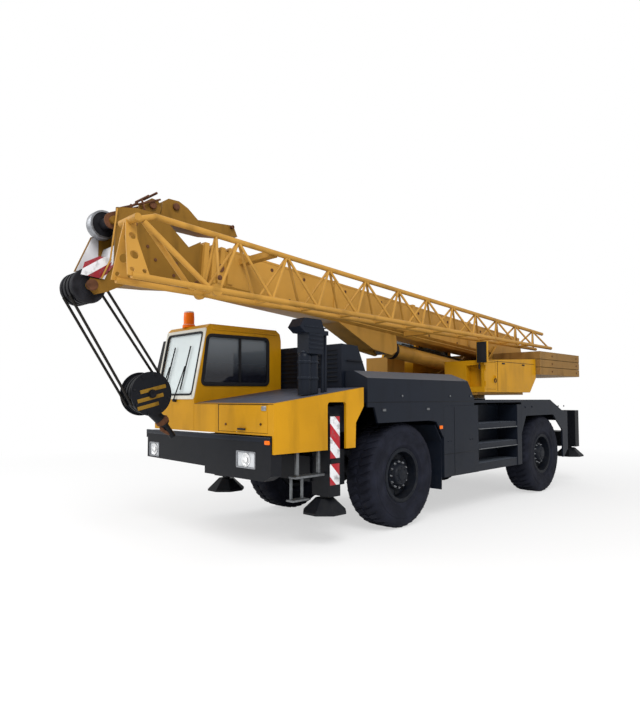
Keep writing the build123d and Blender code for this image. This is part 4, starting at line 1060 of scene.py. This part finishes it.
class CRANE_OT_stage(bpy.types.Operator):
    """Lay the floor, hang the lamps and set the camera"""
    bl_idname = "crane.stage"
    bl_label = "Set the stage"

    def execute(self, context):
        scene = context.scene
        scene.view_settings.view_transform = "Standard"
        clear_selection()
        bpy.ops.mesh.primitive_plane_add(size=400, location=(0, 0, 0))
        floor = context.object
        floor.name = "floor"
        floor.data.materials.append(pale_floor(5.5, 13.0, 0.55))
        world = bpy.data.worlds.new("plain light")
        scene.world = world
        world.use_nodes = True
        tree = world.node_tree
        sky = tree.nodes["Background"]
        sky.inputs["Color"].default_value = (1, 1, 1, 1)
        sky.inputs["Strength"].default_value = 0.75
        white = tree.nodes.new("ShaderNodeBackground")
        white.inputs["Color"].default_value = (1, 1, 1, 1)
        tree.links.new(blend(tree, looked_at(tree), sky.outputs[0], white.outputs[0]),
                       tree.nodes["World Output"].inputs["Surface"])
        lamp("key lamp", (9, 10, 12), (0, 0, 1.5), 8, 1500)
        lamp("side lamp", (12, -8, 8), (0, 0, 1.5), 8, 600)
        forward = Vector((-cos(camera_yaw) * cos(camera_pitch), -sin(camera_yaw) * cos(camera_pitch),
                          sin(camera_pitch)))
        right = forward.cross(Vector((0, 0, 1))).normalized()
        up = right.cross(forward)
        sideways = cos(camera_roll) * right + sin(camera_roll) * up
        upright = -sin(camera_roll) * right + cos(camera_roll) * up
        clear_selection()
        bpy.ops.object.camera_add(location=camera_place)
        camera = context.object
        turn = Matrix((sideways, upright, -forward)).transposed().to_4x4()
        camera.matrix_world = Matrix.Translation(camera_place) @ turn
        camera.data.lens = camera_lens
        camera.data.shift_y = camera_shift
        camera.data.clip_end = 500
        scene.camera = camera
        return {"FINISHED"}


# ---- panel, registration and run -----------------------------------------------------------------
steps = (CRANE_OT_stage, CRANE_OT_paint, CRANE_OT_tyres, CRANE_OT_wheels, CRANE_OT_cab, CRANE_OT_front,
         CRANE_OT_sides, CRANE_OT_head, CRANE_OT_boom, CRANE_OT_hook, CRANE_OT_upper)


class CRANE_PT_sidebar(bpy.types.Panel):
    """Buttons that dress the crane, in order"""
    bl_idname = "CRANE_PT_sidebar"
    bl_label = "Mobile crane"
    bl_space_type = "VIEW_3D"
    bl_region_type = "UI"
    bl_category = "Crane"

    def draw(self, context):
        column = self.layout.column()
        for group in (context.scene.crane_sizes, context.scene.crane_colours):
            for key in group.__annotations__:
                column.prop(group, key)
        for step in steps:
            column.operator(step.bl_idname)


def register():
    for item in (CraneSizes, CraneColours, *steps, CRANE_PT_sidebar):
        bpy.utils.register_class(item)
    bpy.types.Scene.crane_sizes = bpy.props.PointerProperty(type=CraneSizes)
    bpy.types.Scene.crane_colours = bpy.props.PointerProperty(type=CraneColours)


def unregister():
    del bpy.types.Scene.crane_colours
    del bpy.types.Scene.crane_sizes
    for item in reversed((CraneSizes, CraneColours, *steps, CRANE_PT_sidebar)):
        bpy.utils.unregister_class(item)


def main():
    register()
    for step in steps:
        family, action = step.bl_idname.split(".")
        getattr(getattr(bpy.ops, family), action)()


if __name__ == "__main__":
    main()
